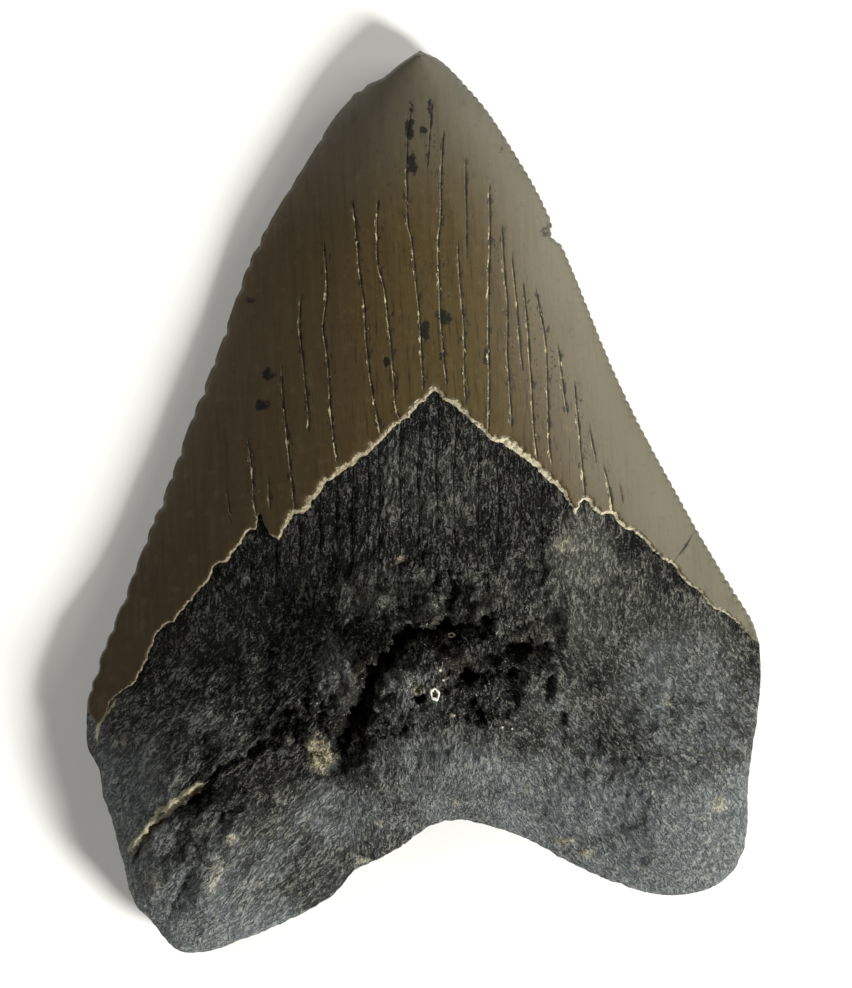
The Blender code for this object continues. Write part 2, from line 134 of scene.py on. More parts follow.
# Furrows down the root's outer face: (x, depth)
OUTER_FURROWS = (
    (-24.0, 0.35), (-15.5, 0.3), (-8.0, 0.4), (-1.0, 0.45), (6.5, 0.35), (13.0, 0.3), (21.5, 0.35),
)

# The enamel: its V-shaped lower edge on the inner face, its arched one on the outer face, and its thickness.
ENAMEL_LINE = (
    (-43.0, -25.6), (-41.0, -26.2), (-39.4, -27.2), (-37.6, -24.1), (-35.1, -22.1), (-33.8, -19.6),
    (-33.0, -17.6), (-31.7, -15.4), (-30.4, -14.6), (-28.9, -12.8), (-27.1, -10.9), (-25.7, -8.8),
    (-25.1, -7.8), (-23.5, -7.1), (-22.4, -5.6), (-21.1, -3.7), (-20.3, -3.3), (-19.9, -1.8), (-19.5, -2.8),
    (-18.5, -4.1), (-17.6, -4.9), (-16.7, -3.5), (-15.4, -1.8), (-14.3, -1.7), (-13.0, 0.1), (-11.3, 2.3),
    (-9.4, 3.5), (-7.1, 5.2), (-5.1, 7.1), (-3.2, 9.0), (-1.1, 10.5), (0.1, 12.0), (1.2, 13.0), (2.8, 11.8),
    (4.9, 10.2), (6.8, 8.3), (7.8, 7.2), (9.3, 6.6), (11.1, 5.6), (12.8, 4.3), (14.5, 2.8), (15.7, 1.6),
    (17.1, 0.1), (17.8, -1.0), (18.3, -1.9), (19.3, 0.0), (20.2, -0.9), (21.2, -1.6), (22.6, -1.8),
    (23.4, -3.0), (25.2, -3.8), (26.5, -4.9), (28.3, -6.6), (30.2, -8.0), (32.0, -10.1), (33.5, -11.3),
    (34.8, -12.7), (37.0, -14.0), (38.5, -15.5), (39.8, -16.7), (43.0, -19.0),
)
OUTER_ENAMEL_LINE = (
    (-43.0, -27.5), (-36.0, -26.5), (-26.0, -21.5), (-14.0, -17.2), (0.0, -15.8), (14.0, -17.0),
    (26.0, -19.6), (35.0, -21.6), (43.0, -21.4),
)
ENAMEL_THICKNESS = 0.55
BURIED = 0.9  # how far under the enamel the pieces' hidden faces run
BEVEL = (  # the broken edge's width across the tooth: (x, width)
    (-41.0, 0.25), (-30.0, 0.35), (-21.0, 0.5), (-20.3, 0.15), (-19.0, 0.15), (-18.0, 0.5), (-16.0, 1.0),
    (-10.0, 1.1), (-5.0, 0.6), (0.0, 0.7), (5.0, 0.9), (8.0, 0.8), (11.0, 1.3), (15.0, 1.1), (18.0, 0.5),
    (22.0, 0.8), (28.0, 0.45), (41.0, 0.3),
)
EDGE_JAG = ((1.7, 0.2), (0.7, 0.13), (0.34, 0.07))  # how the broken edge wanders: (size, amount)

# Cracks down the enamel's inner face: (points from the top down, width, paleness)
CRACKS = (
    (((-1.6, 47.4), (-2.1, 43.8), (-2.0, 34.3), (-1.5, 31.7), (-1.1, 27.6), (-0.5, 21.8), (-0.1, 13.4)),
     1.0, 0.75),
    (((2.4, 45.2), (2.1, 41.1), (2.0, 34.3), (1.7, 31.7), (1.8, 27.2), (2.1, 20.7), (2.7, 14.3)), 1.0, 0.7),
    (((4.1, 31.7), (4.3, 27.2), (4.5, 24.8), (4.8, 20.5), (4.9, 14.3), (5.1, 12.2)), 0.8, 0.6),
    (((5.0, 42.2), (5.1, 35.0), (5.1, 29.3)), 0.5, 0.05),
    (((7.9, 38.7), (8.0, 32.9), (7.8, 24.8), (7.8, 18.8), (7.9, 14.3), (7.8, 8.5)), 1.0, 0.8),
    (((9.4, 33.8), (9.8, 27.2), (10.1, 23.8), (10.1, 18.0), (10.4, 13.0), (10.6, 8.8)), 0.7, 0.3),
    (((10.6, 30.5), (11.3, 23.0), (11.7, 18.0), (12.0, 15.6)), 0.6, 0.3),
    (((12.0, 26.7), (12.6, 20.7), (12.9, 15.6), (13.3, 8.5), (13.7, 4.9)), 0.9, 0.6),
    (((13.5, 26.0), (14.6, 20.5), (14.9, 16.5), (15.1, 8.0), (15.4, 4.4)), 0.8, 0.4),
    (((16.2, 19.3), (17.0, 13.0), (17.4, 10.6)), 0.7, 0.5),
    (((18.2, 14.8), (18.5, 11.8), (18.8, 8.5), (19.0, 5.9), (19.5, 0.6)), 0.9, 0.7),
    (((20.0, 9.4), (20.9, 4.4)), 0.6, 0.3),
    (((21.7, 4.6), (22.4, 1.8), (22.9, -1.6)), 0.7, 0.4),
    (((23.7, 2.3), (24.1, 0.1)), 0.6, 0.2),
    (((-5.6, 36.7), (-5.7, 32.7), (-5.6, 28.7), (-4.9, 26.2), (-4.4, 22.6), (-4.1, 19.5), (-3.8, 16.5),
      (-3.4, 11.5), (-2.9, 9.8)), 1.0, 0.75),
    (((-8.7, 36.7), (-8.2, 32.3), (-7.8, 27.6), (-7.3, 24.5), (-7.1, 20.5), (-6.7, 16.5), (-6.1, 12.4),
      (-5.2, 8.0)), 1.0, 0.6),
    (((-12.2, 31.8), (-11.8, 25.7), (-12.2, 21.1), (-11.7, 17.3), (-11.5, 14.5), (-11.1, 9.0), (-10.5, 5.1)),
     0.9, 0.6),
    (((-14.9, 25.4), (-15.1, 21.6), (-14.8, 18.0), (-14.4, 14.5), (-14.0, 10.9), (-14.0, 8.4)), 0.7, 0.4),
    (((-17.3, 16.7), (-17.1, 12.4), (-16.8, 9.8), (-16.3, 5.1), (-15.6, -1.1)), 0.9, 0.55),
    (((-21.5, 7.8), (-20.9, 4.4), (-20.5, -0.6), (-19.9, -2.3)), 0.9, 1.0),
    (((1.0, 48.9), (0.4, 41.0)), 0.7, 0.1),
    (((-24.0, 2.0), (-23.4, -3.0)), 0.5, 0.3), (((-18.9, 3.5), (-18.6, -1.0)), 0.5, 0.3),
    (((32.8, -3.8), (31.9, -5.3), (30.9, -6.6)), 0.6, 0.0),
)
OUTER_CRACKS = (
    (((-3.0, 40.0), (-3.4, 28.0), (-2.8, 10.0), (-3.4, -14.0)), 0.9, 0.5),
    (((6.0, 30.0), (6.6, 12.0), (6.2, -6.0), (7.0, -15.5)), 0.8, 0.5),
    (((-12.0, 22.0), (-12.6, 6.0), (-13.4, -16.0)), 0.8, 0.5),
    (((15.0, 14.0), (15.8, 0.0), (16.8, -16.0)), 0.8, 0.4),
    (((-22.0, 2.0), (-23.0, -10.0), (-23.6, -19.5)), 0.7, 0.4),
    (((26.0, -4.0), (26.8, -12.0), (27.4, -19.0)), 0.7, 0.4),
)
CRACK_SPACING = 0.2  # between the points along a crack
CRACK_ROWS = (0.0, 0.09, -0.09, 0.2, -0.2, 0.42, -0.42)  # rows of points beside each crack
# Dark stains on the enamel: (x, y, x radius, y radius, strength)
STAINS = (
    (-18.9, 15.4, 0.75, 0.75, 0.9), (-19.6, 11.6, 0.95, 0.8, 0.9), (-21.5, 24.5, 0.8, 0.7, 0.6),
    (-1.7, 45.2, 0.6, 1.2, 1.0), (0.0, 44.9, 0.5, 0.55, 0.9), (-1.4, 40.9, 0.55, 1.4, 0.9),
    (-1.5, 48.2, 0.4, 1.1, 0.8), (0.8, 48.0, 0.35, 1.3, 0.9), (15.2, 32.9, 0.9, 0.8, 0.7),
    (9.3, 43.0, 0.35, 0.4, 0.5), (0.2, 20.4, 0.5, 1.4, 1.0), (2.4, 22.2, 0.85, 1.0, 0.95),
    (-4.5, 16.7, 0.45, 0.6, 0.8), (4.8, 20.0, 0.4, 0.7, 0.8), (7.6, 17.4, 0.4, 1.5, 0.8),
    (2.1, 17.6, 0.45, 0.6, 0.8), (14.1, 21.1, 0.4, 0.8, 0.5),
)


def curve_through(controls, spacing):
    """Points about `spacing` apart on a smooth curve through the control points, its last one left out."""
    pts = np.array(controls, float)
    ends = np.vstack((2 * pts[0] - pts[1], pts, 2 * pts[-1] - pts[-2]))
    t = np.linspace(0.0, 1.0, 24, endpoint=False)[:, None]
    run = []
    for p0, p1, p2, p3 in zip(ends, ends[1:], ends[2:], ends[3:]):
        bend = (2 * p0 - 5 * p1 + 4 * p2 - p3) * t**2
        run.append(0.5 * (2 * p1 + (p2 - p0) * t + bend + (3 * p1 - p0 - 3 * p2 + p3) * t**3))
    fine = np.vstack(run + [pts[-1:]])
    along = np.concatenate(([0.0], np.cumsum(np.linalg.norm(np.diff(fine, axis=0), axis=1))))
    count = max(2, round(along[-1] / spacing))
    at = np.linspace(0.0, along[-1], count, endpoint=False)
    return np.column_stack([np.interp(at, along, fine[:, k]) for k in (0, 1)])


def profile(stations, y):
    """A smooth curve through (y, height) stations, read at y."""
    fine = curve_through(stations, 0.25)
    return np.interp(y, fine[:, 0], fine[:, 1])


def smooth(low, high, value):
    t = np.clip((value - low) / (high - low), 0.0, 1.0)
    return t * t * (3.0 - 2.0 * t)


def lumpy(points, size, seed):
    """Smooth noise of one size over the plan, from about -1 to 1."""
    angle = np.random.default_rng(seed).uniform(0.0, 2.0 * math.pi, 4096)
    at = points / size
    cell = np.floor(at).astype(np.int64)
    part = at - cell
    ease = part**3 * (part * (part * 6.0 - 15.0) + 10.0)
    total = np.zeros(len(points))
    for right in (0, 1):
        for up in (0, 1):
            turn = angle[((cell[:, 0] + right) * 1619 + (cell[:, 1] + up) * 31337) & 4095]
            slope = np.cos(turn) * (part[:, 0] - right) + np.sin(turn) * (part[:, 1] - up)
            beside = ease[:, 0] if right else 1.0 - ease[:, 0]
            above = ease[:, 1] if up else 1.0 - ease[:, 1]
            total += beside * above * slope
    return 1.6 * total


def distance_to_path(points, path):
    """Each point's distance to a run of straight stretches, + on its left, and how far along that is."""
    best = np.full(len(points), np.inf)
    beside = np.zeros(len(points))
    side = np.ones(len(points))
    place = np.zeros(len(points))
    start = 0.0
    for a, b in zip(path, path[1:]):
        run = b - a
        length = max(math.hypot(*run), 1e-9)
        offset = points - a
        t = np.clip(offset @ run / length**2, 0.0, 1.0)
        gap = np.hypot(offset[:, 0] - t * run[0], offset[:, 1] - t * run[1])
        turn = (run[0] * offset[:, 1] - run[1] * offset[:, 0]) / length
        # Beyond a corner two stretches are equally near. The one the point is more beside gives the sign.
        nearer = (gap < best - 1e-9) | ((gap < best + 1e-9) & (np.abs(turn) > beside))
        best = np.where(nearer, gap, best)
        beside = np.where(nearer, np.abs(turn), beside)
        side = np.where(nearer, np.where(turn >= 0, 1.0, -1.0), side)
        place = np.where(nearer, start + t * length, place)
        start += length
    return best * side, place


def near_distance(points, path, reach=2.0, skip=8):
    """distance_to_path, worked out in full only for the points near the path."""
    rough = np.vstack((path[::skip], path[-1:]))
    gap, place = distance_to_path(points, rough)
    near = np.abs(gap) < reach
    gap[near], place[near] = distance_to_path(points[near], path)
    return gap, place


def inside(points, loop):
    """Whether each point lies inside the closed loop."""
    odd = np.zeros(len(points), bool)
    for a, b in zip(loop, np.roll(loop, -1, axis=0)):
        if a[1] == b[1]:
            continue
        rows = np.flatnonzero((a[1] > points[:, 1]) != (b[1] > points[:, 1]))
        at = a[0] + (points[rows, 1] - a[1]) * (b[0] - a[0]) / (b[1] - a[1])
        odd[rows] ^= points[rows, 0] < at
    return odd


def near_box(points, path, margin):
    """Whether each point lies within a margin of the path's box."""
    return ((points > path.min(axis=0) - margin) & (points < path.max(axis=0) + margin)).all(axis=1)


def inward_of(points):
    """The direction to the right of a run of points, which is into the tooth on its clockwise outline."""
    course = np.gradient(points, axis=0)
    course /= np.linalg.norm(course, axis=1)[:, None]
    return np.column_stack((course[:, 1], -course[:, 0]))


def pushed_in(points, depth):
    return points + inward_of(points) * np.broadcast_to(depth, len(points))[:, None]


def chipped(controls, spacing):
    """One cutting edge with its chips, before the serrations are cut."""
    points = curve_through(controls, spacing)
    depth = np.zeros(len(points))
    for x, y, radius, bite in CHIPS:
        gap = points - (x, y)
        gap += 0.25 * radius * np.column_stack([lumpy(points, 0.7, seed) for seed in (11, 12)])
        depth += bite * np.exp(-((np.hypot(*gap.T) / radius) ** 2))
    return pushed_in(points, depth)


def jagged(line, spacing):
    """A broken edge: a smooth line that wanders at a few sizes."""
    points = curve_through(line, spacing)
    shift = sum(height * lumpy(points, size, round(100 * size)) for size, height in EDGE_JAG)
    return pushed_in(points, shift)


BLADE_SPACING = 0.17
RIGHT = chipped(RIGHT_EDGE, BLADE_SPACING)
LEFT = chipped(LEFT_EDGE, BLADE_SPACING)
ROOT_SIDE = curve_through(ROOT_EDGE, 0.3)
OUTLINE = np.vstack((RIGHT, ROOT_SIDE, LEFT))
CLOSED = np.vstack((OUTLINE, OUTLINE[:1]))
EDGE = jagged(ENAMEL_LINE, 0.15)
OUTER_EDGE = jagged(OUTER_ENAMEL_LINE, 0.25)
# Where the root ends, hidden under the enamel
COVER_LINE = (
    (-46.0, -27.5), (-34.0, -14.0), (-24.0, -3.5), (-12.0, 5.5), (1.2, 15.5), (14.0, 6.5), (24.0, 0.8),
    (34.0, -9.0), (46.0, -18.0),
)
COVERED = curve_through(COVER_LINE, 0.6)


def crown_sides(left_edge, y):
    """The x of the crown's left and right edges at each y."""
    left = curve_through(left_edge, 1.0)
    right = curve_through(RIGHT_EDGE, 1.0)[::-1]
    return np.interp(y, left[:, 1], left[:, 0]), np.interp(y, right[:, 1], right[:, 0])


def ellipse_reach(points, x, y, rx, ry):
    """How far out in an ellipse each point is, squared: 1 on its edge."""
    return ((points[:, 0] - x) / rx) ** 2 + ((points[:, 1] - y) / ry) ** 2


class Survey:
    """What the heights and the finishes need to know about a set of plan points."""

    def __init__(self, points):
        self.points = points
        self.x, self.y = points.T
        reach, self.place = near_distance(points, CLOSED)
        self.reach = np.abs(reach)
        self.above, self.run = near_distance(points, EDGE, 3.0)
        self.outer, _ = near_distance(points, OUTER_EDGE, 3.0)
        self.side = profile(SIDE_LINE, self.y)
        turn = -19.0 - 2.5 * np.tanh(-self.x / 20.0)
        self.rooted = smooth(4.0, -4.0, self.y - turn)
        self.section = self.crown_section()
        self.body = self.inner_body()

    def crown_section(self):
        """1 along the crown's middle line, falling to 0 at its two edges."""
        left, right = crown_sides(LEFT_RUN, self.y)
        to_left = np.clip(self.x - left, 0.0, None)
        to_right = np.clip(right - self.x, 0.0, None)
        across = np.maximum(to_left + to_right, 3.0)
        return np.clip(4.0 * to_left * to_right / across**2, 0.0, 1.0)

    def inner_body(self):
        """How far the inner face rises over the side line, before its relief."""
        crown = profile(CROWN_RISE, self.y) * self.section**CROWN_ROUNDNESS
        total = np.zeros(len(self.x))
        for *ellipse, height in MOUNDS:
            total += (height * np.exp(-ellipse_reach(self.points, *ellipse))) ** MOUND_SHARPNESS
        total *= smooth(8.0, -16.0, self.y) ** MOUND_SHARPNESS
        return (crown**MOUND_SHARPNESS + total) ** (1.0 / MOUND_SHARPNESS)

    def raised(self, body):
        """A height over the side line, rounded off at the root's side and thinned to a blade on the crown."""
        left = 1.0 - np.clip(self.reach / ROOT_SIDE_RADIUS, 0.0, 1.0)
        rounded = 1.0 - self.rooted * (1.0 - np.sqrt(np.clip(1.0 - left * left, 0.0, 1.0)))
        blade = self.rooted + (1.0 - self.rooted) * smooth(-0.05, 0.22, self.reach)
        return self.side + np.maximum(body, LEAST_RISE) * rounded * blade


def ellipses(points, items):
    """The strongest of several soft ellipses at each point: (x, y, x radius, y radius, strength)."""
    best = np.zeros(len(points))
    for *ellipse, strength in items:
        reach = ellipse_reach(points, *ellipse)
        best = np.maximum(best, strength * np.exp(-0.7 * reach * reach))
    return best


def wandered(points, amounts):
    """The points moved about by noise, so that what is laid out over them gets a natural outline."""
    shift = np.zeros_like(points)
    for size, amount in amounts:
        seed = round(100 * size)
        shift += amount * np.column_stack((lumpy(points, size, seed), lumpy(points, size, seed + 1)))
    return points + shift


# The root's channels: (points, width of the steep side, width of the gentle one, depth, lip). Each runs with
# its steep side on the left.
CHANNELS = (
    (((-10.0, -27.6), (-9.2, -26.4), (-8.2, -25.0), (-7.1, -22.4), (-5.7, -19.6), (-3.9, -17.2),
      (-1.3, -15.8), (2.6, -15.2)), 0.6, 2.3, 3.2, 0.6),
    (((2.6, -14.6), (3.3, -11.2)), 0.5, 0.9, 1.5, 0.2),
    (((-28.5, -36.0), (-27.0, -34.6), (-24.0, -31.4), (-21.2, -30.3), (-19.1, -28.6), (-17.4, -26.2),
      (-15.6, -24.6)), 0.3, 1.7, 1.8, 0.5),
    (((-30.2, -48.9), (-28.9, -46.1), (-27.8, -42.3), (-26.2, -40.1), (-24.0, -37.4), (-21.5, -35.5)),
     0.3, 1.2, 0.7, 0.12),
    (((-35.5, -43.3), (-33.8, -41.1), (-31.6, -38.6), (-28.9, -36.4), (-27.2, -35.6)), 0.3, 1.1, 0.8, 0.35),
    (((22.3, -31.4), (26.0, -31.6), (28.8, -32.8)), 0.5, 1.0, 0.6, 0.0),
    (((14.2, -19.5), (14.6, -13.0), (14.2, -6.0), (13.8, -2.0)), 1.2, 0.5, 0.5, 0.0),
    (((4.0, -20.6), (6.5, -18.4), (9.6, -17.3), (12.6, -17.2)), 0.6, 2.0, 1.7, 0.3),
    (((-7.4, -28.8), (-4.5, -28.1), (-1.7, -26.6)), 0.15, 0.3, 0.6, 0.12),
)
# Furrows down the bare band under the enamel: (x, where they start, where they end)
FURROWS = (
    (-15.0, -2.5, -9.0), (-12.6, 0.0, -8.0), (-10.6, 2.5, -6.0), (-8.7, 4.0, -9.0), (-6.8, 5.2, -7.0),
    (-5.4, 6.5, -10.0), (-2.8, 8.5, -8.0), (-0.6, 10.5, -6.5), (1.6, 11.5, -4.0), (3.7, 10.5, -8.0),
    (6.6, 8.0, -7.0), (8.9, 6.0, -9.0), (11.6, 4.5, -5.0), (-17.8, -5.5, -11.0), (14.2, 2.0, -6.0),
)
FURROW_WIDTH = 0.3
FURROW_DEPTH = 0.2
FURROW_WANDER = ((7.0, 0.3), (1.3, 0.06))  # (size, amount)
# Pits: (x, y, x radius, y radius, depth). A negative depth is a lump.
PITS = (
    (-9.0, -29.8, 2.2, 1.9, 0.9), (-12.6, -30.6, 1.5, 2.4, -1.0), (7.3, -15.2, 1.2, 0.9, 1.8),
    (11.0, -18.0, 1.7, 1.0, 1.4), (5.4, -20.9, 1.2, 0.9, 1.0), (7.6, -22.6, 4.3, 3.7, 1.7),
    (5.6, -25.6, 1.4, 1.3, 1.3), (15.9, -15.2, 1.4, 2.8, 1.1), (15.2, -22.7, 0.8, 1.7, 1.3),
    (16.7, -25.9, 0.8, 0.7, 0.7), (27.0, -27.3, 0.9, 0.8, 0.6), (-17.2, -45.0, 2.2, 2.0, 0.7),
    (-0.6, -23.5, 0.8, 0.8, 2.2), (0.8, -19.5, 2.0, 1.5, -1.0), (-5.0, -12.5, 1.8, 1.5, -0.7),
    (11.8, -21.8, 1.5, 1.2, -0.7), (-2.8, -21.0, 1.4, 2.0, -1.2), (-10.6, -20.5, 2.0, 2.4, -0.9),
    (-4.3, -18.6, 0.9, 0.8, 1.2), (-12.6, -25.6, 1.0, 1.0, 0.5), (3.2, -9.8, 0.5, 1.2, 0.9),
    (-2.0, -12.8, 0.5, 0.5, 0.8), (2.3, -17.8, 0.6, 0.6, 1.0), (3.6, -19.8, 0.5, 0.6, 0.9),
    (8.5, -20.4, 0.8, 1.2, 0.6),
)
# Where the root is rough rubble: (x, y, x radius, y radius, strength)
RUBBLE = ((1.0, -18.5, 13.5, 9.5, 1.0), (-11.0, -26.5, 5.0, 6.0, 0.8), (-22.0, -31.0, 8.0, 4.0, 0.2))
# Pale mineral crusts, in the same way
CRUSTS = (
    (-25.1, -45.2, 0.7, 2.6, 0.6), (-23.2, -41.0, 0.7, 0.6, 0.65), (35.6, -36.8, 1.1, 1.1, 0.6),
    (17.0, -41.0, 1.6, 0.8, 0.7), (19.6, -42.8, 1.6, 0.7, 0.65), (-7.1, -43.8, 1.0, 0.6, 0.7),
    (-36.8, -29.3, 0.7, 0.7, 0.65), (-5.7, -38.8, 0.9, 0.4, 0.6), (4.3, -36.8, 0.7, 0.5, 0.6),
    (26.3, -44.4, 1.0, 0.5, 0.6), (-12.6, -30.6, 1.6, 2.4, 0.78), (-0.6, -22.5, 0.9, 0.5, 0.8),
    (-3.0, -7.2, 0.8, 0.5, 0.65), (-20.0, -46.5, 0.8, 0.5, 0.5), (30.0, -24.0, 0.6, 0.5, 0.5),
    (17.0, -5.5, 1.8, 1.3, 0.5), (-16.5, -28.6, 0.5, 0.4, 0.6), (-33.0, -46.0, 1.2, 2.0, 0.45),
)
# Where the root is paler grey instead of black: partly wear, partly painted light, strongest on the lower
# lobes and the lower right where the lights fall: (x, y, x radius, y radius, strength)
WORN_AND_LIT = (
    (30.0, -40.0, 15.0, 12.0, 1.0), (31.0, -24.0, 10.0, 12.0, 0.85), (17.0, -36.0, 13.0, 8.0, 0.95),
    (3.0, -33.0, 12.0, 6.5, 0.85), (-26.0, -50.0, 12.0, 8.0, 0.95), (-20.0, -43.0, 12.0, 7.0, 0.75),
    (-35.0, -38.0, 7.0, 12.0, 0.9), (1.0, 2.0, 9.0, 7.0, 0.48), (21.0, -13.0, 9.0, 8.0, 0.62),
    (-3.0, -12.0, 9.0, 4.5, 0.56), (-29.0, -29.0, 10.0, 6.0, 0.48), (31.0, -13.5, 6.0, 3.0, 0.65),
    (-26.0, -15.0, 8.0, 5.0, 0.26), (-10.0, -38.0, 9.0, 5.0, 0.85), (8.0, -12.0, 7.0, 5.0, 0.45),
    (-10.5, -20.5, 3.0, 5.0, 0.65), (-2.0, -23.0, 5.0, 5.0, 0.68), (-38.0, -26.0, 5.0, 6.0, 0.65),
    (17.0, -7.0, 5.0, 3.5, 0.62), (16.0, -26.0, 8.0, 6.0, 0.65), (-31.0, -22.0, 7.0, 5.0, 0.3),
    (19.6, -6.5, 4.8, 6.0, 0.78), (21.0, -37.5, 8.0, 4.0, 1.2),
)
# Thin crusts along a broken lip, with the lip on the left
CRUST_STRIPS = (
    ((-35.5, -42.3), (-33.8, -40.1), (-31.6, -37.6), (-28.9, -35.4), (-26.9, -34.4)),
    ((-39.7, -28.8), (-39.2, -26.9), (-37.6, -24.6)),
)


def channel_depth(points, path, steep, gentle, depth, lip=0.0):
    """How far a channel lowers each point. Its steep side, on the left, may have a raised lip."""
    path = np.array(path)
    near = near_box(points, path, 3.0 * max(steep, gentle))
    gap, _ = distance_to_path(points[near], path)
    wall = np.where(gap > 0.0, (gap / steep) ** 4, (-gap / gentle) ** 1.6)
    low = np.zeros(len(points))
    low[near] = depth * np.exp(-wall) - lip * np.exp(-(((gap - 2.2 * steep) / steep) ** 2))
    return low


def relief(survey):
    """How far the root's inner face is lowered by its channels, pits and furrows."""
    points = wandered(survey.points, ((3.2, 0.6), (1.2, 0.4), (0.6, 0.2)))
    low = sum(channel_depth(points, *channel) for channel in CHANNELS)
    for *ellipse, depth in PITS:
        low += depth * np.exp(-(ellipse_reach(points, *ellipse) ** 3))
    points = wandered(survey.points, FURROW_WANDER)
    for x, top, bottom in FURROWS:
        path = ((x, top), (x, bottom))
        fade = smooth(bottom - 0.5, bottom + 3.0, survey.y)
        low += fade * channel_depth(points, path, FURROW_WIDTH, FURROW_WIDTH, FURROW_DEPTH)
    return low


def root_top(survey):
    """The root's inner face. It runs on under the enamel, one thickness lower."""
    bare = smooth(-1.5, -9.0, survey.above)
    body = survey.body - ENAMEL_THICKNESS * smooth(0.3, 2.5, survey.reach)
    body -= relief(survey) * smooth(0.6, -0.2, survey.above) + 0.3 * smooth(0.2, 0.9, survey.above)
    wear = sum(height * lumpy(survey.points, size, round(size * 10)) for size, height in LUMPS)
    body += wear * bare * smooth(0.5, 4.0, survey.reach)
    return survey.raised(body)


def outer_face(survey):
    """The flatter outer face that the tooth lies on, as the enamel has it."""
    arch = profile(OUTER_ARCH, survey.y) + OUTER_HOLLOW * survey.x**2 * (1.0 - survey.rooted)
    for x, y, radius, fall in REST_FLATS:
        arch -= fall * np.exp(-((survey.x - x) ** 2 + (survey.y - y) ** 2) / radius**2)
    left = 1.0 - np.clip(survey.reach / ROOT_BACK_RADIUS, 0.0, 1.0)
    crown_fall = survey.section**0.6 * smooth(-0.2, 0.6, survey.reach)
    fall = (1.0 - survey.rooted) * crown_fall + survey.rooted * np.sqrt(np.clip(1.0 - left * left, 0.0, 1.0))
    return np.maximum(survey.side + (arch - survey.side) * fall, 0.0)


def root_bottom(survey):
    """The root's outer face, set back a little from the enamel, with shallow furrows."""
    points = wandered(survey.points, ((5.0, 1.0), (1.4, 0.3)))
    low = np.full(len(points), OUTER_STEP) * smooth(-34.0, -26.0, survey.y)
    for x, depth in OUTER_FURROWS:
        low += depth * np.exp(-(((points[:, 0] - x) / 0.8) ** 2)) * smooth(-38.0, -30.0, survey.y)
    return outer_face(survey) + low * smooth(0.5, 3.0, survey.reach)


def wall_top(survey):
    """The hidden wall's upper end, and the height of the root's buried rim."""
    return survey.raised(survey.body - ENAMEL_THICKNESS) - BURIED


def hidden_wall(survey):
    """The surface inside the tooth, from under the enamel's inner edge down to its outer one."""
    down, up = np.maximum(-survey.above, 0.0), np.maximum(survey.outer, 0.0)
    share = (down / np.maximum(down + up, 1e-6)) ** 0.7
    return wall_top(survey) * (1.0 - share) + (outer_face(survey) + OUTER_RIM) * share


def edge_bevel(survey):
    """How wide the broken face of the enamel's edge is, along its run."""
    along = np.column_stack((survey.run, np.zeros(len(survey.run))))
    wide = np.interp(survey.x, *np.transpose(BEVEL))
    return np.maximum(wide * (1.0 + 0.45 * lumpy(along, 2.2, 5) + 0.4 * lumpy(along, 0.6, 6)), 0.15)


def crown_top(survey):
    """The enamel's inner face, its broken edge, and the hidden wall behind the root."""
    enamel = survey.raised(survey.body)
    share = np.clip(survey.above / edge_bevel(survey), 0.0, 1.0)
    broken = enamel - (ENAMEL_THICKNESS + 0.2) * (1.0 - share) ** 0.9
    behind = np.maximum(np.minimum(hidden_wall(survey), broken), crown_bottom(survey) + 0.05)
    return np.where(survey.above >= 0.0, broken, behind)


def crown_bottom(survey):
    """The enamel's outer face and its lower edge."""
    share = np.clip(survey.outer / OUTER_BEVEL, 0.0, 1.0)
    return outer_face(survey) + OUTER_RIM * (1.0 - share)


def root_underside(survey):
    """The root's outer face, and above it the hidden wall behind the enamel."""
    behind = np.maximum(hidden_wall(survey) - 0.35, outer_face(survey) + 0.1)
    face = root_bottom(survey)
    return np.minimum(np.where(survey.outer > 0.0, np.maximum(face, behind), face), root_top(survey) - 0.05)


def lattice(loop, cell, steps):
    """Points inside the loop on a triangular lattice. `steps` gives each point's step: 1, 2, 4 or 8 cells."""
    low = loop.min(axis=0) - cell
    size = np.ceil((loop.max(axis=0) - low) / cell).astype(int) + 2
    rise = math.sin(math.radians(60))
    row, column = np.mgrid[0:round(size[1] / rise), -size[1]:size[0]]
    row, column = row.ravel(), column.ravel()
    across = column + row / 2
    near = (across > 0) & (across < size[0])
    row, column = row[near], column[near]
    points = low + cell * np.column_stack((across[near], row * rise))
    step = steps(points)
    keep = (row % step == 0) & (column % step == 0)
    row, column, points, step = row[keep], column[keep], points[keep], step[keep]
    keep = inside(points, loop)
    points, step = points[keep], step[keep]
    closed = np.vstack((loop, loop[:1]))
    gap, _ = near_distance(points, closed, 1.0)
    return points[np.abs(gap) > 0.45 * cell * step]


def steps_past(line, gap, before, past):
    """A lattice's steps: one size up to a gap past a line, and another beyond it."""
    def steps(points):
        distance, _ = near_distance(points, line, 1.0)
        return np.where(distance > gap, past, before)

    return steps


def clear_of(points, others, gap):
    """The points that are at least `gap` from all the others."""
    tree = KDTree(len(others))
    for index, (x, y) in enumerate(others.tolist()):
        tree.insert((x, y, 0.0), index)
    tree.balance()
    return np.array([point for point in points.tolist() if tree.find((*point, 0.0))[2] > gap])


def with_rows(loop, points, rows, gap):
    """The lattice's points and the rows that follow edges and cracks, thinned where they crowd."""
    rows = np.vstack(rows)
    rows = rows[inside(rows, loop)]
    _, first = np.unique(np.round(rows / 0.07).astype(int), axis=0, return_index=True)
    rows = rows[np.sort(first)]
    rows = clear_of(rows, loop, 0.07)
    return np.vstack((rows, clear_of(points, rows, gap)))


def triangulated(loop, inner):
    """Triangles over the loop and the inner points, as triples of their indices."""
    flat = np.vstack((loop, inner))
    ring = list(range(len(loop)))[::-1]
    result = delaunay_2d_cdt([Vector(point) for point in flat.tolist()], [], [ring], 1, 1e-5)
    index = np.array([source[0] for source in result[3]])
    return index[np.array(result[2])]


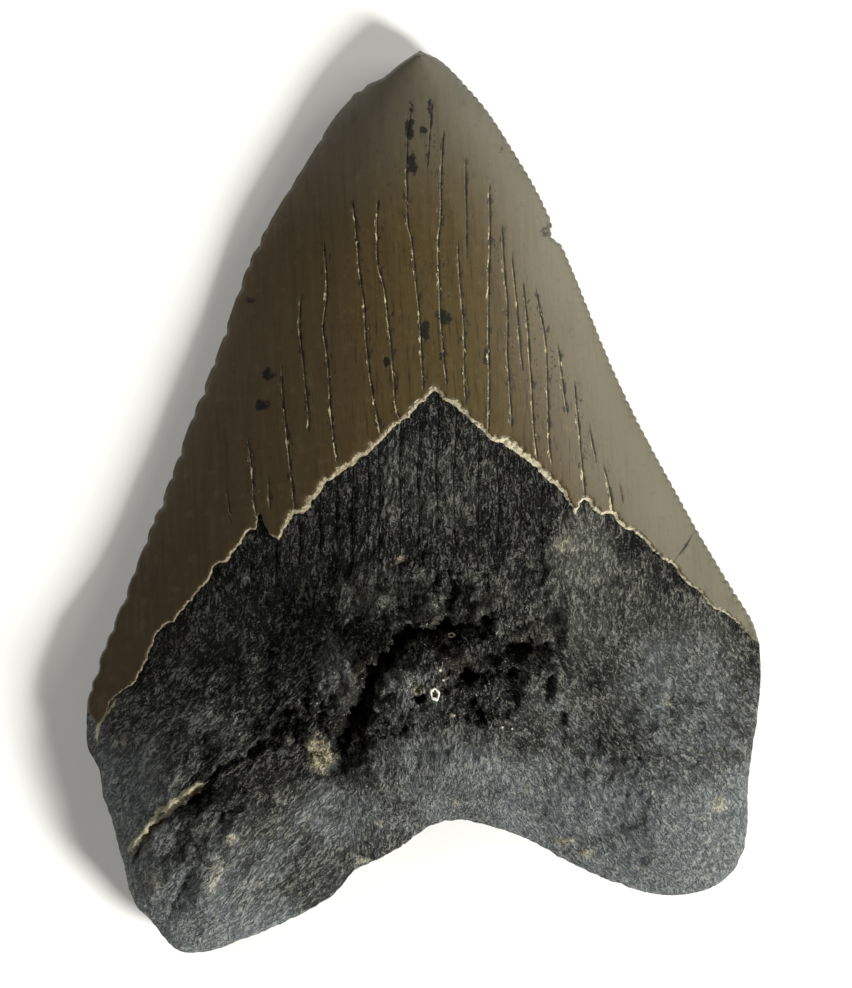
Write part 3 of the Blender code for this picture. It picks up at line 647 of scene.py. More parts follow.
def chords(faces, count):
    """The triangles' edges that run between two of the loop's points and aren't part of it."""
    edges = np.vstack((faces[:, (0, 1)], faces[:, (1, 2)], faces[:, (2, 0)]))
    edges = np.unique(np.sort(edges[(edges < count).all(axis=1)], axis=1), axis=0)
    steps = edges[:, 1] - edges[:, 0]
    return edges[(steps != 1) & (steps != count - 1)]


def sheet(loop, inner):
    """A sheet's inner points and triangles, with no edge straight from the loop to the loop."""
    faces = triangulated(loop, inner)
    across = chords(faces, len(loop))
    while len(across):
        inner = np.vstack((inner, loop[across].mean(axis=1)))
        faces = triangulated(loop, inner)
        across = chords(faces, len(loop))
    return inner, faces


DRAWN_CENTRE = (OUTLINE.min(axis=0) + OUTLINE.max(axis=0)) / 2


def placed(plan, height):
    """Drawn millimetres as metres in the frame."""
    middle = (CAD_LOW + CAD_HIGH) / 2
    flat = (plan - DRAWN_CENTRE) * UNIT + (middle.x, middle.y)
    return np.column_stack((flat, height * UNIT + CAD_LOW.z))


def closed_piece(name, loop, rim, upper, lower, top, bottom):
    """One closed mesh: two sheets over a loop. Returns the object and a survey of all its points.

    `upper` and `lower` are plan points, `top` and `bottom` give their heights, and `rim` the loop's.
    """
    upper, over = sheet(loop, upper)
    lower, under = sheet(loop, lower)
    count, shift = len(loop), len(upper)
    survey = Survey(np.vstack((loop, upper, lower)))
    survey.facing = np.concatenate((np.zeros(count), np.ones(shift), -np.ones(len(lower))))
    survey.height = np.where(survey.facing > 0, top(survey), bottom(survey))
    survey.height[:count] = rim(survey)[:count]
    under = np.where(under < count, under, under + shift)[:, ::-1]
    mesh = bpy.data.meshes.new(name)
    mesh.from_pydata(placed(survey.points, survey.height).tolist(), [], np.vstack((over, under)).tolist())
    mesh.update()
    mesh.shade_smooth()
    piece = bpy.data.objects.new(name, mesh)
    bpy.context.scene.collection.objects.link(piece)
    return piece, survey


def attribute(piece, name, values):
    """Keeps a number or a vector for each point of a piece."""
    values = np.asarray(values, np.float32)
    kind, field = ("FLOAT", "value") if values.ndim == 1 else ("FLOAT_VECTOR", "vector")
    piece.data.attributes.new(name, kind, "POINT").data.foreach_set(field, values.ravel())


# ---------------------------------------------------------------------------------------------------------
# Node trees

class Socket:
    """A value in a node tree. Arithmetic on it adds the Math nodes it needs."""

    def __init__(self, graph, source):
        self.graph = graph
        self.source = source

    def __add__(self, other):
        return self.graph.math("ADD", self, other)

    def __sub__(self, other):
        return self.graph.math("SUBTRACT", self, other)

    def __rsub__(self, other):
        return self.graph.math("SUBTRACT", other, self)

    def __mul__(self, other):
        return self.graph.math("MULTIPLY", self, other)

    def __truediv__(self, other):
        return self.graph.math("DIVIDE", self, other)

    def __rtruediv__(self, other):
        return self.graph.math("DIVIDE", other, self)

    def __pow__(self, other):
        return self.graph.math("POWER", self, other)

    def __abs__(self):
        return self.graph.math("ABSOLUTE", self)

    def __neg__(self):
        return self * -1.0

    __radd__ = __add__


class Graph:
    """A node tree that is built by calls, for a material or for geometry."""

    def __init__(self, tree):
        self.tree = tree

    def add(self, kind, settings=None, values=None, output=0):
        """Adds a node, with its settings first and then the values or links of its inputs."""
        node = self.tree.nodes.new(kind)
        settings = dict(settings or {})
        stops = settings.pop("stops", None)
        for name, value in settings.items():
            setattr(node, name, value)
        if stops:
            self.set_stops(node.color_ramp, stops)
        for name, value in (values or {}).items():
            self.feed(node.inputs[name], value)
        return Socket(self, node.outputs[output])

    def feed(self, socket, value):
        if isinstance(value, Socket):
            self.tree.links.new(value.source, socket)
        else:
            socket.default_value = value

    def set_stops(self, ramp, stops):
        while len(ramp.elements) < len(stops):
            ramp.elements.new(1.0)
        for element, (place, colour) in zip(ramp.elements, stops):
            element.position = place
            element.color = colour

    def math(self, operation, *values):
        return self.add("ShaderNodeMath", {"operation": operation}, dict(enumerate(values)))

    def vector(self, operation, *values):
        return self.add("ShaderNodeVectorMath", {"operation": operation}, dict(enumerate(values)))

    def times(self, vector, amount):
        """A vector made longer or shorter by a number."""
        return self.add("ShaderNodeVectorMath", {"operation": "SCALE"}, {0: vector, "Scale": amount})

    def parts(self, vector):
        node = self.add("ShaderNodeSeparateXYZ", None, {0: vector}).source.node
        return [Socket(self, output) for output in node.outputs]

    def joined(self, x, y, z):
        return self.add("ShaderNodeCombineXYZ", None, {0: x, 1: y, 2: z})

    def smooth(self, value, low, high):
        """0 below low, 1 above high, and a soft slope between. It falls where low is the larger."""
        ends = {"Value": value, "From Min": min(low, high), "From Max": max(low, high)}
        rising = self.add("ShaderNodeMapRange", {"interpolation_type": "SMOOTHSTEP"}, ends)
        return rising if low < high else 1.0 - rising

    def noise(self, vector, size, detail=2.0, roughness=0.5):
        """Noise from 0 to 1 whose features are `size` across, one number or three."""
        sizes = size if isinstance(size, tuple) else (size, size, size)
        spread = self.vector("DIVIDE", vector, sizes)
        values = {"Vector": spread, "Scale": 1.0, "Detail": detail, "Roughness": roughness}
        return self.add("ShaderNodeTexNoise", None, values)

    def cells(self, vector):
        """The distance to the nearest of scattered points that are about 1 apart."""
        return self.add("ShaderNodeTexVoronoi", None, {"Vector": vector, "Scale": 1.0})

    def bell(self, value):
        """1 where the value is 0, and soon nothing on both sides."""
        return self.math("EXPONENT", -(value * value))

    def mix(self, share, first, second):
        """A colour between two colours."""
        return self.add("ShaderNodeMix", {"data_type": "RGBA"}, {0: share, 6: first, 7: second}, 2)

    def layered(self, colour, *layers):
        """A colour with others laid over it in turn, each as (how much of it, the colour)."""
        for share, over in layers:
            colour = self.mix(share, colour, over)
        return colour

    def ramp(self, place, *stops):
        """A colour read from (place, colour) stops."""
        return self.add("ShaderNodeValToRGB", {"stops": stops}, {0: place})

    def clamp(self, value):
        return self.add("ShaderNodeClamp", None, {"Value": value})


# ---------------------------------------------------------------------------------------------------------
# Geometry Nodes

def lengths(settings):
    """A property group's lengths, by their labels."""
    rows = [item for item in settings.bl_rna.properties if getattr(item, "unit", "") == "LENGTH"]
    return {item.name: getattr(settings, item.identifier) for item in rows}


def geometry_tree(name, settings):
    """An empty tree with an input for each of the settings' lengths. They come out in drawn millimetres."""
    tree = bpy.data.node_groups.new(name, "GeometryNodeTree")
    tree.interface.new_socket("Geometry", in_out="INPUT", socket_type="NodeSocketGeometry")
    tree.interface.new_socket("Geometry", in_out="OUTPUT", socket_type="NodeSocketGeometry")
    for label, default in lengths(settings).items():
        socket = tree.interface.new_socket(label, in_out="INPUT", socket_type="NodeSocketFloat")
        socket.subtype = "DISTANCE"
        socket.default_value = default
    tree.interface.new_socket("Material", in_out="INPUT", socket_type="NodeSocketMaterial")
    graph = Graph(tree)
    start = tree.nodes.new("NodeGroupInput")
    value = {output.name: Socket(graph, output) for output in start.outputs if output.name}
    for label in lengths(settings):
        value[label] = value[label] / UNIT
    return graph, value


def finish_tree(graph, geometry, material):
    """Ends a tree: real meshes only, with their material."""
    real = graph.add("GeometryNodeRealizeInstances", None, {0: geometry})
    dressed = graph.add("GeometryNodeSetMaterial", None, {"Geometry": real, "Material": material})
    end = graph.tree.nodes.new("NodeGroupOutput")
    graph.feed(end.inputs[0], dressed)


def stored(graph, name, kind="FLOAT"):
    return graph.add("GeometryNodeInputNamedAttribute", {"data_type": kind}, {"Name": name})


def on_floor(graph, geometry):
    """Keeps the geometry from reaching below what the tooth lies on."""
    x, y, z = graph.parts(graph.add("GeometryNodeInputPosition"))
    position = graph.joined(x, y, graph.math("MAXIMUM", z, CAD_LOW.z))
    return graph.add("GeometryNodeSetPosition", None, {"Geometry": geometry, "Position": position})


def moved(graph, geometry, offset):
    return graph.add("GeometryNodeSetPosition", None, {"Geometry": geometry, "Offset": offset})


def crown_tree(settings):
    """Cuts the serrations and the cracks, and roughens the enamel's broken edge."""
    graph, value = geometry_tree("crown relief", settings)
    normal = graph.add("GeometryNodeInputNormal")
    drawn = graph.times(graph.add("GeometryNodeInputPosition"), 1.0 / UNIT)
    place, reach, wear = graph.parts(stored(graph, "blade", "FLOAT_VECTOR"))
    uneven = graph.noise(graph.joined(place, 0.0, 0.0), 2.6, 2.0)
    phase = (place + uneven * 0.5) / value["Serration pitch"] * math.pi
    notch = (1.0 - abs(graph.math("SINE", phase))) ** 1.3
    notch = notch * graph.noise(graph.joined(place, 3.0, 0.0), 1.3, 2.0) * 1.7
    worn = wear * graph.smooth(graph.noise(graph.joined(place, 7.0, 0.0), 3.4, 1.0) + wear * 0.35, 0.42, 0.68)
    cut = notch * worn * value["Serration depth"] * graph.smooth(reach, 0.7, 0.0)
    inward = graph.times(stored(graph, "inward", "FLOAT_VECTOR"), cut * UNIT)
    ridge = notch * worn * value["Serration ridge"]
    ridge = ridge * graph.smooth(reach, 1.2, 0.1) * graph.smooth(reach, 0.0, 0.12)
    gap, along, width = graph.parts(stored(graph, "crack", "FLOAT_VECTOR"))
    opening = graph.smooth(graph.noise(graph.joined(along, 3.0, 0.0), 0.9, 2.0), 0.4, 0.65)
    across = gap / (value["Crack width"] * (width + 0.05))
    groove = graph.bell(across) * value["Crack depth"] * width * opening
    torn = graph.smooth(stored(graph, "broken"), 0.0, 0.35) * (graph.noise(drawn, 0.42, 3.0, 0.65) - 0.5)
    x, y, z = graph.parts(drawn)
    ripple = (graph.noise(graph.joined(x / 1.5, y / 22.0, z / 6.0), 1.0, 1.0) - 0.5) * value["Ripple height"]
    lift = torn * value["Break roughness"] * 2.0 + ripple - ridge - groove
    offset = graph.vector("ADD", inward, graph.times(normal, lift * UNIT))
    finish_tree(graph, on_floor(graph, moved(graph, value["Geometry"], offset)), value["Material"])
    return graph.tree


def root_tree(settings):
    """Raises the root's fibrous grain, its pebbly wear and the rubble around the cavity."""
    graph, value = geometry_tree("root relief", settings)
    normal = graph.add("GeometryNodeInputNormal")
    flow = stored(graph, "flow", "FLOAT_VECTOR")
    rubble, bare, calm = graph.parts(stored(graph, "wear", "FLOAT_VECTOR"))
    bend = graph.add("ShaderNodeTexNoise", None, {"Vector": flow, "Scale": 0.5, "Detail": 2.0}, 1)
    bent = graph.vector("ADD", flow, graph.times(bend, 1.1))
    width = graph.joined(value["Grain width"], value["Grain length"], value["Grain width"])
    grain = fanned(graph, flow, graph.vector("DIVIDE", bent, width), 1.0, 2.0) - 0.5
    pebble = graph.noise(graph.times(bent, 1.0 / value["Pebble size"]), 1.0, 3.0, 0.6) - 0.5
    chunk = graph.times(bent, 1.0 / value["Rubble size"])
    stones = 0.5 - graph.cells(chunk)
    crags = graph.noise(chunk, 0.8, 4.0, 0.65) - 0.5
    pores = graph.smooth(graph.cells(graph.times(bent, 1.0 / value["Pore size"])), 0.24, 0.06)
    rough = pebble * 2.0 * value["Pebble height"] * (bare * 0.6 + 0.4)
    rough = rough + grain * 2.0 * value["Grain height"] * (1.0 - rubble * 0.5)
    small = 0.5 - graph.cells(graph.times(bent, 2.4 / value["Rubble size"]))
    lumps = stones + crags * 1.6 + small * 0.45
    rough = rough + lumps * rubble * value["Rubble height"] - pores * bare * value["Pore depth"]
    offset = graph.times(normal, rough * calm * UNIT)
    finish_tree(graph, on_floor(graph, moved(graph, value["Geometry"], offset)), value["Material"])
    return graph.tree


def sediment_tree(settings, seed):
    """Scatters small rough grains over the faces of the crusts."""
    graph, value = geometry_tree("sediment grains", settings)
    density = stored(graph, "density")
    points = graph.add("GeometryNodeDistributePointsOnFaces", None,
                       {"Mesh": value["Geometry"], "Density": density, "Seed": seed})
    grain = graph.add("GeometryNodeMeshIcoSphere", None, {"Radius": 1.0, "Subdivisions": 2})
    place = graph.add("GeometryNodeInputPosition")
    dent = graph.noise(place, 0.9, 2.0, 0.6) * 0.9 + 0.55
    dented = {"Geometry": grain, "Position": graph.times(place, dent)}
    rough = graph.add("GeometryNodeSetPosition", None, dented)

    def any_vector(low, high, own_seed):
        values = {"Min": low, "Max": high, "Seed": own_seed}
        return graph.add("FunctionNodeRandomValue", {"data_type": "FLOAT_VECTOR"}, values)

    stretch = any_vector((0.7, 0.7, 0.4), (1.5, 1.3, 0.8), seed + 1)
    sizes = {2: 0.45, 3: 1.0, "Seed": seed + 2}
    size = graph.add("FunctionNodeRandomValue", {"data_type": "FLOAT"}, sizes, 1)
    scale = graph.times(stretch, size * value["Grain radius"] * UNIT)
    turn = any_vector((0.0, 0.0, 0.0), (6.28, 6.28, 6.28), seed + 3)
    spread = graph.add("GeometryNodeInstanceOnPoints", None,
                       {"Points": points, "Instance": rough, "Rotation": turn, "Scale": scale})
    finish_tree(graph, spread, value["Material"])
    return graph.tree


def applied(piece, tree, settings, material):
    """Runs a tree on a piece, by its inputs' identifiers, and keeps the result as the piece's plain mesh."""
    modifier = piece.modifiers.new(tree.name, "NODES")
    modifier.node_group = tree
    named = {item.name: item.identifier for item in tree.interface.items_tree if item.in_out == "INPUT"}
    for label, value in lengths(settings).items():
        modifier[named[label]] = value
    modifier[named["Material"]] = material
    graph = bpy.context.evaluated_depsgraph_get()
    mesh = bpy.data.meshes.new_from_object(piece.evaluated_get(graph), depsgraph=graph)
    piece.modifiers.remove(modifier)
    old = piece.data
    piece.data = mesh
    bpy.data.meshes.remove(old)
    mesh.name = piece.name
    mesh.shade_smooth()
    return piece


# ---------------------------------------------------------------------------------------------------------
# Finishes

def linear(red, green, blue):
    """A colour's linear values from its 0 to 255 ones."""
    shares = (red / 255, green / 255, blue / 255)
    return tuple(((v + 0.055) / 1.055) ** 2.4 if v > 0.0404 else v / 12.92 for v in shares)


def new_material(name):
    """An empty material with its graph and its Principled shader."""
    material = bpy.data.materials.new(name)
    material.use_nodes = True
    graph = Graph(material.node_tree)
    shader = next(node for node in material.node_tree.nodes if node.type == "BSDF_PRINCIPLED")
    return material, graph, shader


def drawn_place(graph):
    """Object coordinates in drawn millimetres."""
    place = graph.add("ShaderNodeTexCoord", None, None, "Object")
    scaled = graph.times(place, 1.0 / UNIT)
    return graph.vector("ADD", scaled, (*DRAWN_CENTRE.tolist(), 0.0))


def read(graph, name, output="Fac"):
    return graph.add("ShaderNodeAttribute", {"attribute_name": name}, None, output)


def bumped(graph, shader, height, distance):
    """Feeds the shader's Normal from a height in drawn millimetres."""
    values = {"Strength": 1.0, "Distance": UNIT * distance, "Height": height}
    graph.feed(shader.inputs["Normal"], graph.add("ShaderNodeBump", None, values))


def enamel_material(look):
    """Glossy brown enamel: faint streaks, stains, dark cracks with a chipped flank, a pale broken edge, and
    painted sheen, shade and highlights.
    """
    material, graph, shader = new_material("enamel")
    shader.inputs["Specular IOR Level"].default_value = 0.36
    drawn = drawn_place(graph)
    x, y, z = graph.parts(drawn)
    lean = x + y * 0.06
    across, below, _ = graph.parts(read(graph, "tone", "Vector"))
    gap, along, width = graph.parts(read(graph, "crack", "Vector"))
    pale = read(graph, "paleness")
    broken = read(graph, "broken")
    stain = read(graph, "stain")
    streak = graph.noise(graph.joined(lean / 0.6, y / 19.0, z / 3.0), 1.0, 3.0, 0.6)
    fine = graph.noise(graph.joined(lean / 0.16, y / 6.0, z / 2.0), 1.0, 2.0)
    cloud = graph.noise(drawn, 9.0, 3.0)
    mottle = graph.noise(drawn, 1.3, 4.0, 0.6)
    speck = graph.noise(drawn, 0.3, 2.0, 0.6)

    side = graph.clamp(across + (cloud - 0.5) * 0.16)
    # Greyer toward the right edge: partly the enamel's own paler margin, partly painted sheen of the light at
    # the right.
    colour = graph.ramp(side, (0.0, look["shade"]), (0.3, look["middle"]), (0.6, look["warm"]),
                        (0.8, look["warm"]), (1.0, look["margin"]))
    colour = graph.layered(
        colour,
        # Greyer toward the tip: partly its own colour, partly painted sheen.
        (graph.smooth(y, 30.0, 54.0) * 0.7, look["tip"]),
        # Painted shade: darker low on the crown's left side, away from the lights.
        (graph.smooth(y, 22.0, -16.0) * graph.smooth(across, 0.5, 0.1) * 0.38, look["dark_streak"]),
        (graph.smooth(streak, 0.5, 0.8) * 0.16, look["light_streak"]),
        (graph.smooth(streak, 0.52, 0.2) * 0.3, look["dark_streak"]),
        (graph.smooth(fine, 0.48, 0.2) * 0.14, look["dark_streak"]),
        (graph.smooth(mottle, 0.54, 0.75) * 0.22, look["light_streak"]),
        (graph.smooth(mottle, 0.44, 0.25) * 0.3, look["dark_streak"]),
        (graph.smooth(speck, 0.7, 0.8) * 0.5, look["light_streak"]),
        (graph.smooth(speck, 0.29, 0.2) * 0.7, look["stain"]))
    dashes = graph.noise(graph.joined(lean / 0.2, y / 1.1, z), 1.0, 2.0, 0.6)
    combed = graph.noise(graph.joined(lean / 0.28, y / 9.0, z), 1.0, 3.0, 0.6)
    middle = graph.smooth(across, 0.15, 0.4) * graph.smooth(across, 1.0, 0.8)
    patch = graph.smooth(stain + (mottle - 0.5) * 1.8 + (speck - 0.5) * 1.0, 0.3, 0.75)
    colour = graph.layered(
        colour,
        (graph.smooth(dashes, 0.62, 0.72) * graph.smooth(below, 50.0, 10.0) * middle * 0.6, look["stain"]),
        (graph.smooth(combed, 0.56, 0.68) * graph.smooth(below, 30.0, 8.0) * middle * 0.5, look["stain"]),
        (patch * graph.smooth(stain, 0.05, 0.3) * 0.95, look["stain"]))

    full = graph.smooth(width, 0.02, 0.5)
    flank = graph.smooth(pale, 0.0, 0.6) * graph.smooth(below, 36.0, 14.0)
    wander = graph.noise(graph.joined(along, 2.0, 0.0), 0.7, 4.0, 0.65) - 0.5
    chips = graph.noise(graph.joined(along / 1.5, gap / 0.45, 7.0), 1.0, 4.0, 0.7)
    parting = graph.smooth(graph.noise(graph.joined(along, 5.0, 0.0), 1.6, 4.0, 0.7), 0.34, 0.6)
    shed = graph.smooth(graph.noise(graph.joined(along, 8.0, 0.0), 1.3, 4.0, 0.75), 0.43, 0.56)
    pitted = graph.noise(graph.joined(along / 0.34, gap / 0.22, 3.0), 1.0, 2.0, 0.6) - 0.5
    blotch = graph.noise(graph.joined(x / 0.7, y / 1.7, 4.0), 1.0, 4.0, 0.65)
    halo = graph.smooth(blotch - abs(gap + 0.1) * 0.18, 0.5, 0.56) * full
    # The dark line lies on each crack's right side: partly the crack's dark filling, partly painted shade on
    # the wall that faces away from the lights.
    thin = (gap + 0.05 + wander * 0.07) / graph.math("MAXIMUM", parting * 0.08 + 0.06 + pitted * 0.16, 0.015)
    line = graph.bell(thin) * full * (parting * 0.35 + 0.65)
    # The pale rim on each crack's left side: partly chipped enamel, partly a painted highlight on the wall
    # that faces the lights.
    edge = (gap - 0.11 + wander * 0.1) / graph.math("MAXIMUM", shed * 0.03 + 0.02 + pitted * 0.1, 0.01)
    rim = graph.bell(edge) * flank * shed
    flake = graph.smooth(chips - abs(gap - 0.12) * 0.3, 0.55, 0.6) * graph.smooth(flank, 0.1, 0.7)
    colour = graph.layered(
        colour,
        (halo * 0.75, look["stain"]),
        (graph.clamp(line), look["crack"]),
        (graph.clamp(rim) * 0.85, look["chip"]),
        (graph.clamp(flake), look["flake"]))

    crumb = graph.noise(drawn, 0.42, 4.0, 0.7)
    cream = graph.mix(graph.smooth(crumb, 0.36, 0.6), look["break_dark"], look["break_light"])
    cream = graph.layered(
        cream,
        (graph.smooth(x, 0.0, 7.0) * graph.smooth(crumb, 0.3, 0.5) * 0.7, look["break_pale"]),
        # Painted shade: darker toward the broken face's foot, where it drops to the root.
        (graph.smooth(broken, 0.7, 0.98) * 0.75, look["break_dark"]))
    bare = graph.smooth(broken + (crumb - 0.5) * 0.7 + (mottle - 0.5) * 0.4, 0.1, 0.3)
    bare = bare * graph.smooth(broken, 0.0, 0.06) * (1.0 - graph.smooth(abs(x + 19.5), 0.75, 0.4) * 0.85)
    colour = graph.mix(bare, colour, cream)
    graph.feed(shader.inputs["Base Color"], colour)

    rough = 0.35 + (streak - 0.5) * 0.06 + (mottle - 0.5) * 0.14 + patch * 0.1
    rough = rough + graph.smooth(y, 30.0, 50.0) * 0.1
    rough = rough + graph.clamp(line + flake + bare + halo * 0.5) * 0.35
    graph.feed(shader.inputs["Roughness"], graph.clamp(rough))
    height = fine * 0.008 + streak * 0.012 + mottle * 0.02 + speck * 0.006
    height = height - line * 0.03 - flake * 0.04 + flake * speck * 0.1 + bare * crumb * 0.25
    bumped(graph, shader, height, 1.0)
    return material


def turned(graph, vector, angle):
    """A vector turned about the vertical by an angle in degrees."""
    values = {"Vector": vector, "Angle": math.radians(angle)}
    return graph.add("ShaderNodeVectorRotate", {"rotation_type": "Z_AXIS"}, values)


def fanned(graph, place, bent, size, detail):
    """Long noise that stands upright under the enamel and fans out toward the root's two lobes."""
    x, y, _ = graph.parts(place)
    low = graph.smooth(y, -9.0, -24.0)
    upright = graph.noise(bent, size, detail, 0.6)
    left = graph.noise(turned(graph, bent, 42.0), size, detail, 0.6)
    right = graph.noise(turned(graph, bent, -38.0), size, detail, 0.6)
    leftward = low * graph.smooth(x, -5.0, -14.0)
    rightward = low * graph.smooth(x, 5.0, 14.0)
    return upright * (1.0 - leftward - rightward) + left * leftward + right * rightward


def root_material(look):
    """Blue-black fossil bone: curly fibrous grain, worn grey where it faces out and painted paler where the
    lights fall, painted glints, painted shade in hollows and furrows, with pale crusts.
    """
    material, graph, shader = new_material("bone")
    shader.inputs["Specular IOR Level"].default_value = 0.12
    drawn = drawn_place(graph)
    flow = read(graph, "flow", "Vector")
    _, y, _ = graph.parts(flow)
    rubble, _, _ = graph.parts(read(graph, "wear", "Vector"))
    worn, crust, deep_shade = graph.parts(read(graph, "cover", "Vector"))
    gap, furrow, _ = graph.parts(read(graph, "furrow", "Vector"))
    strip, strip_place, slim = graph.parts(read(graph, "strip", "Vector"))
    bend = graph.add("ShaderNodeTexNoise", None, {"Vector": flow, "Scale": 0.8, "Detail": 2.0}, 1)
    bent = graph.vector("ADD", flow, graph.times(bend, 1.0))
    fibre = graph.smooth(fanned(graph, flow, bent, (0.27, 1.2, 0.5), 3.0), 0.39, 0.61)
    curl = fanned(graph, flow, bent, (0.5, 1.3, 0.6), 2.0)
    worm = 1.0 - graph.clamp(abs(curl - 0.5) * 9.0)
    grit = graph.noise(drawn, 0.24, 3.0, 0.7)
    pebble = graph.noise(bent, 1.1, 3.0, 0.6)
    cloud = graph.noise(drawn, 6.0, 3.0, 0.55)
    patchy = graph.smooth(graph.noise(drawn, 3.4, 3.0, 0.6), 0.36, 0.64)
    tops = graph.clamp(fibre * 0.75 + worm * 0.4 * patchy + (grit - 0.5) * 1.5)

    # Rolls raise the bump and pale the colour on their tops: partly rubbed wear, partly a painted highlight.
    rolls = fanned(graph, flow, bent, (1.0, 3.4, 1.0), 3.0)
    # How pale the bone is: wear, painted light from the worn ellipses, and painted highlights on the rolls'
    # tops.
    share = worn + (cloud - 0.5) * 0.5 + (pebble - 0.5) * 0.4 + (rolls - 0.5) * (2.1 - worn * 1.8)
    share = graph.clamp(share)
    rubbed_and_lit = graph.clamp(worn + (rolls - 0.5) * 1.5) * (patchy * 0.6 + 0.4)
    # Painted glints: white points for light caught on the grain.
    spark = graph.noise(drawn, 0.34, 2.0, 0.5)
    sparks = graph.smooth(spark + rubble * 0.05, 0.73, 0.77) * (rubbed_and_lit * 0.5 + 0.25 + rubble * 0.35)
    # Black down each furrow: partly its dark crack, partly painted shade.
    groove = graph.bell(gap / (grit * 0.13 + 0.02)) * furrow
    # Painted highlight: pale flecks along each furrow's right lip.
    furrow_highlight = graph.bell((gap - 0.17) / 0.08) * furrow * graph.smooth(grit, 0.5, 0.66)
    colour = graph.ramp(share, (0.0, look["black"]), (0.3, look["dark"]), (0.65, look["grey"]),
                        (1.0, look["pale_grey"]))
    colour = graph.layered(
        colour,
        (graph.smooth(y, -20.0, -8.0) * graph.smooth(share, 0.4, 0.8) * 0.7, look["olive"]),
        (graph.smooth(tops, 0.5, 0.1) * (0.75 - worn * 0.3), look["black"]),
        # Pale fibre and grit tops: partly rubbed grain, partly painted glints.
        (graph.smooth(tops, 0.62, 0.85) * (rubbed_and_lit * 0.24 + 0.15), look["fleck"]),
        (graph.smooth(grit, 0.6, 0.68) * (rubbed_and_lit * 0.46 + 0.16), look["fleck"]),
        (sparks, look["spark"]),
        (graph.smooth(cloud, 0.55, 0.7) * rubble * 0.3, look["brown"]),
        (furrow_highlight * 0.3, look["fleck"]),
        # Painted shade: black in the deep hollows and down the furrows.
        (graph.clamp(deep_shade + groove), look["black"]))
    edge = crust * 1.5 + (grit - 0.5) * 1.8 + (pebble - 0.5) * 1.2 + (fibre - 0.5) * 0.5
    coat = graph.smooth(edge, 0.66, 0.95) * graph.smooth(crust, 0.1, 0.3)
    torn = graph.noise(graph.joined(strip_place, strip, 0.0), 0.7, 3.0, 0.7)
    lip = graph.smooth(abs(strip - 0.14) + (torn - 0.5) * 1.2, 0.38, 0.22)
    under = graph.smooth(abs(strip + 0.45) + (torn - 0.5) * 1.8, 0.42, 0.2) * (1.0 - slim)
    holes = graph.smooth(graph.cells(drawn), 0.3, 0.16) * graph.smooth(crust, 0.45, 0.75)
    silt = graph.mix(graph.smooth(pebble, 0.4, 0.56), look["brown"], look["crust"])
    silt = graph.mix(graph.smooth(y, -34.0, -38.0) * 0.6, silt, look["bleached"])
    colour = graph.layered(
        colour,
        (graph.smooth(crust, 0.15, 0.65) * 0.25, look["bleached"]),
        (coat * (crust * 0.4 + 0.5), silt),
        (under * 0.8, look["brown"]),
        (lip * 0.95, look["crust"]),
        (holes * 0.9, look["black"]))
    graph.feed(shader.inputs["Base Color"], colour)

    rough = 0.62 - graph.smooth(tops, 0.4, 0.9) * 0.3 + coat * 0.25 + deep_shade * 0.3
    graph.feed(shader.inputs["Roughness"], graph.clamp(rough))
    height = fibre * 0.24 + worm * patchy * 0.12 + grit * 0.4 + pebble * 0.4 + rolls * 1.4 - groove * 0.2
    height = height + coat * 0.05 + lip * 0.1 - holes * 0.4
    bumped(graph, shader, height, 1.0)
    return material


def sediment_material(look):
    """Dry pale silt and sand grains."""
    material, graph, shader = new_material("sediment")
    drawn = drawn_place(graph)
    tint = graph.noise(drawn, 0.8, 3.0, 0.6)
    grit = graph.noise(drawn, 0.12, 3.0, 0.6)
    colour = graph.mix(graph.smooth(tint, 0.35, 0.68), look["brown"], look["crust"])
    colour = graph.layered(colour, (graph.smooth(grit, 0.5, 0.75) * 0.3, look["shell"]),
                           (read(graph, "shell"), look["shell"]))
    graph.feed(shader.inputs["Base Color"], colour)
    graph.feed(shader.inputs["Roughness"], graph.clamp(0.75 + (grit - 0.5) * 0.3))
    bumped(graph, shader, grit, 0.05)
    return material


def floor_material(colour):
    """Plain pale paper with a faint tooth to it."""
    material, graph, shader = new_material("paper")
    place = graph.add("ShaderNodeTexCoord", None, None, "Object")
    grain = graph.noise(place, 0.0009, 3.0, 0.6)
    darker = (*(0.9 * value for value in colour[:3]), 1.0)
    shade = graph.mix(graph.smooth(grain, 0.3, 0.7) * 0.03, colour, darker)
    graph.feed(shader.inputs["Base Color"], shade)
    graph.feed(shader.inputs["Roughness"], graph.clamp(0.8 + grain * 0.15))
    return material


# ---------------------------------------------------------------------------------------------------------
# The pieces

# How far from their edges the rows of extra points run
EDGE_ROWS = (-1.3, -0.95, -0.7, -0.5, -0.3, -0.12, 0.0, 0.14, 0.3)
OUTER_EDGE_ROWS = (-0.2, -0.45, -0.8)
BLADE_ROWS = (0.12, 0.3, 0.6, 1.0)
ROOT_SIDE_ROWS = (0.15, 0.4, 0.85, 1.5, 2.4)
ENAMEL_CELL = 0.21  # the finest spacing of the enamel's points
ROOT_CELL = 0.235  # the same for the root
SEAM = 0.12  # how far a loop's outline stays from the line that closes it
TUCK = 0.8  # how far in the root's side runs where the enamel covers it
FAR = 9.0  # the gap that stands for none


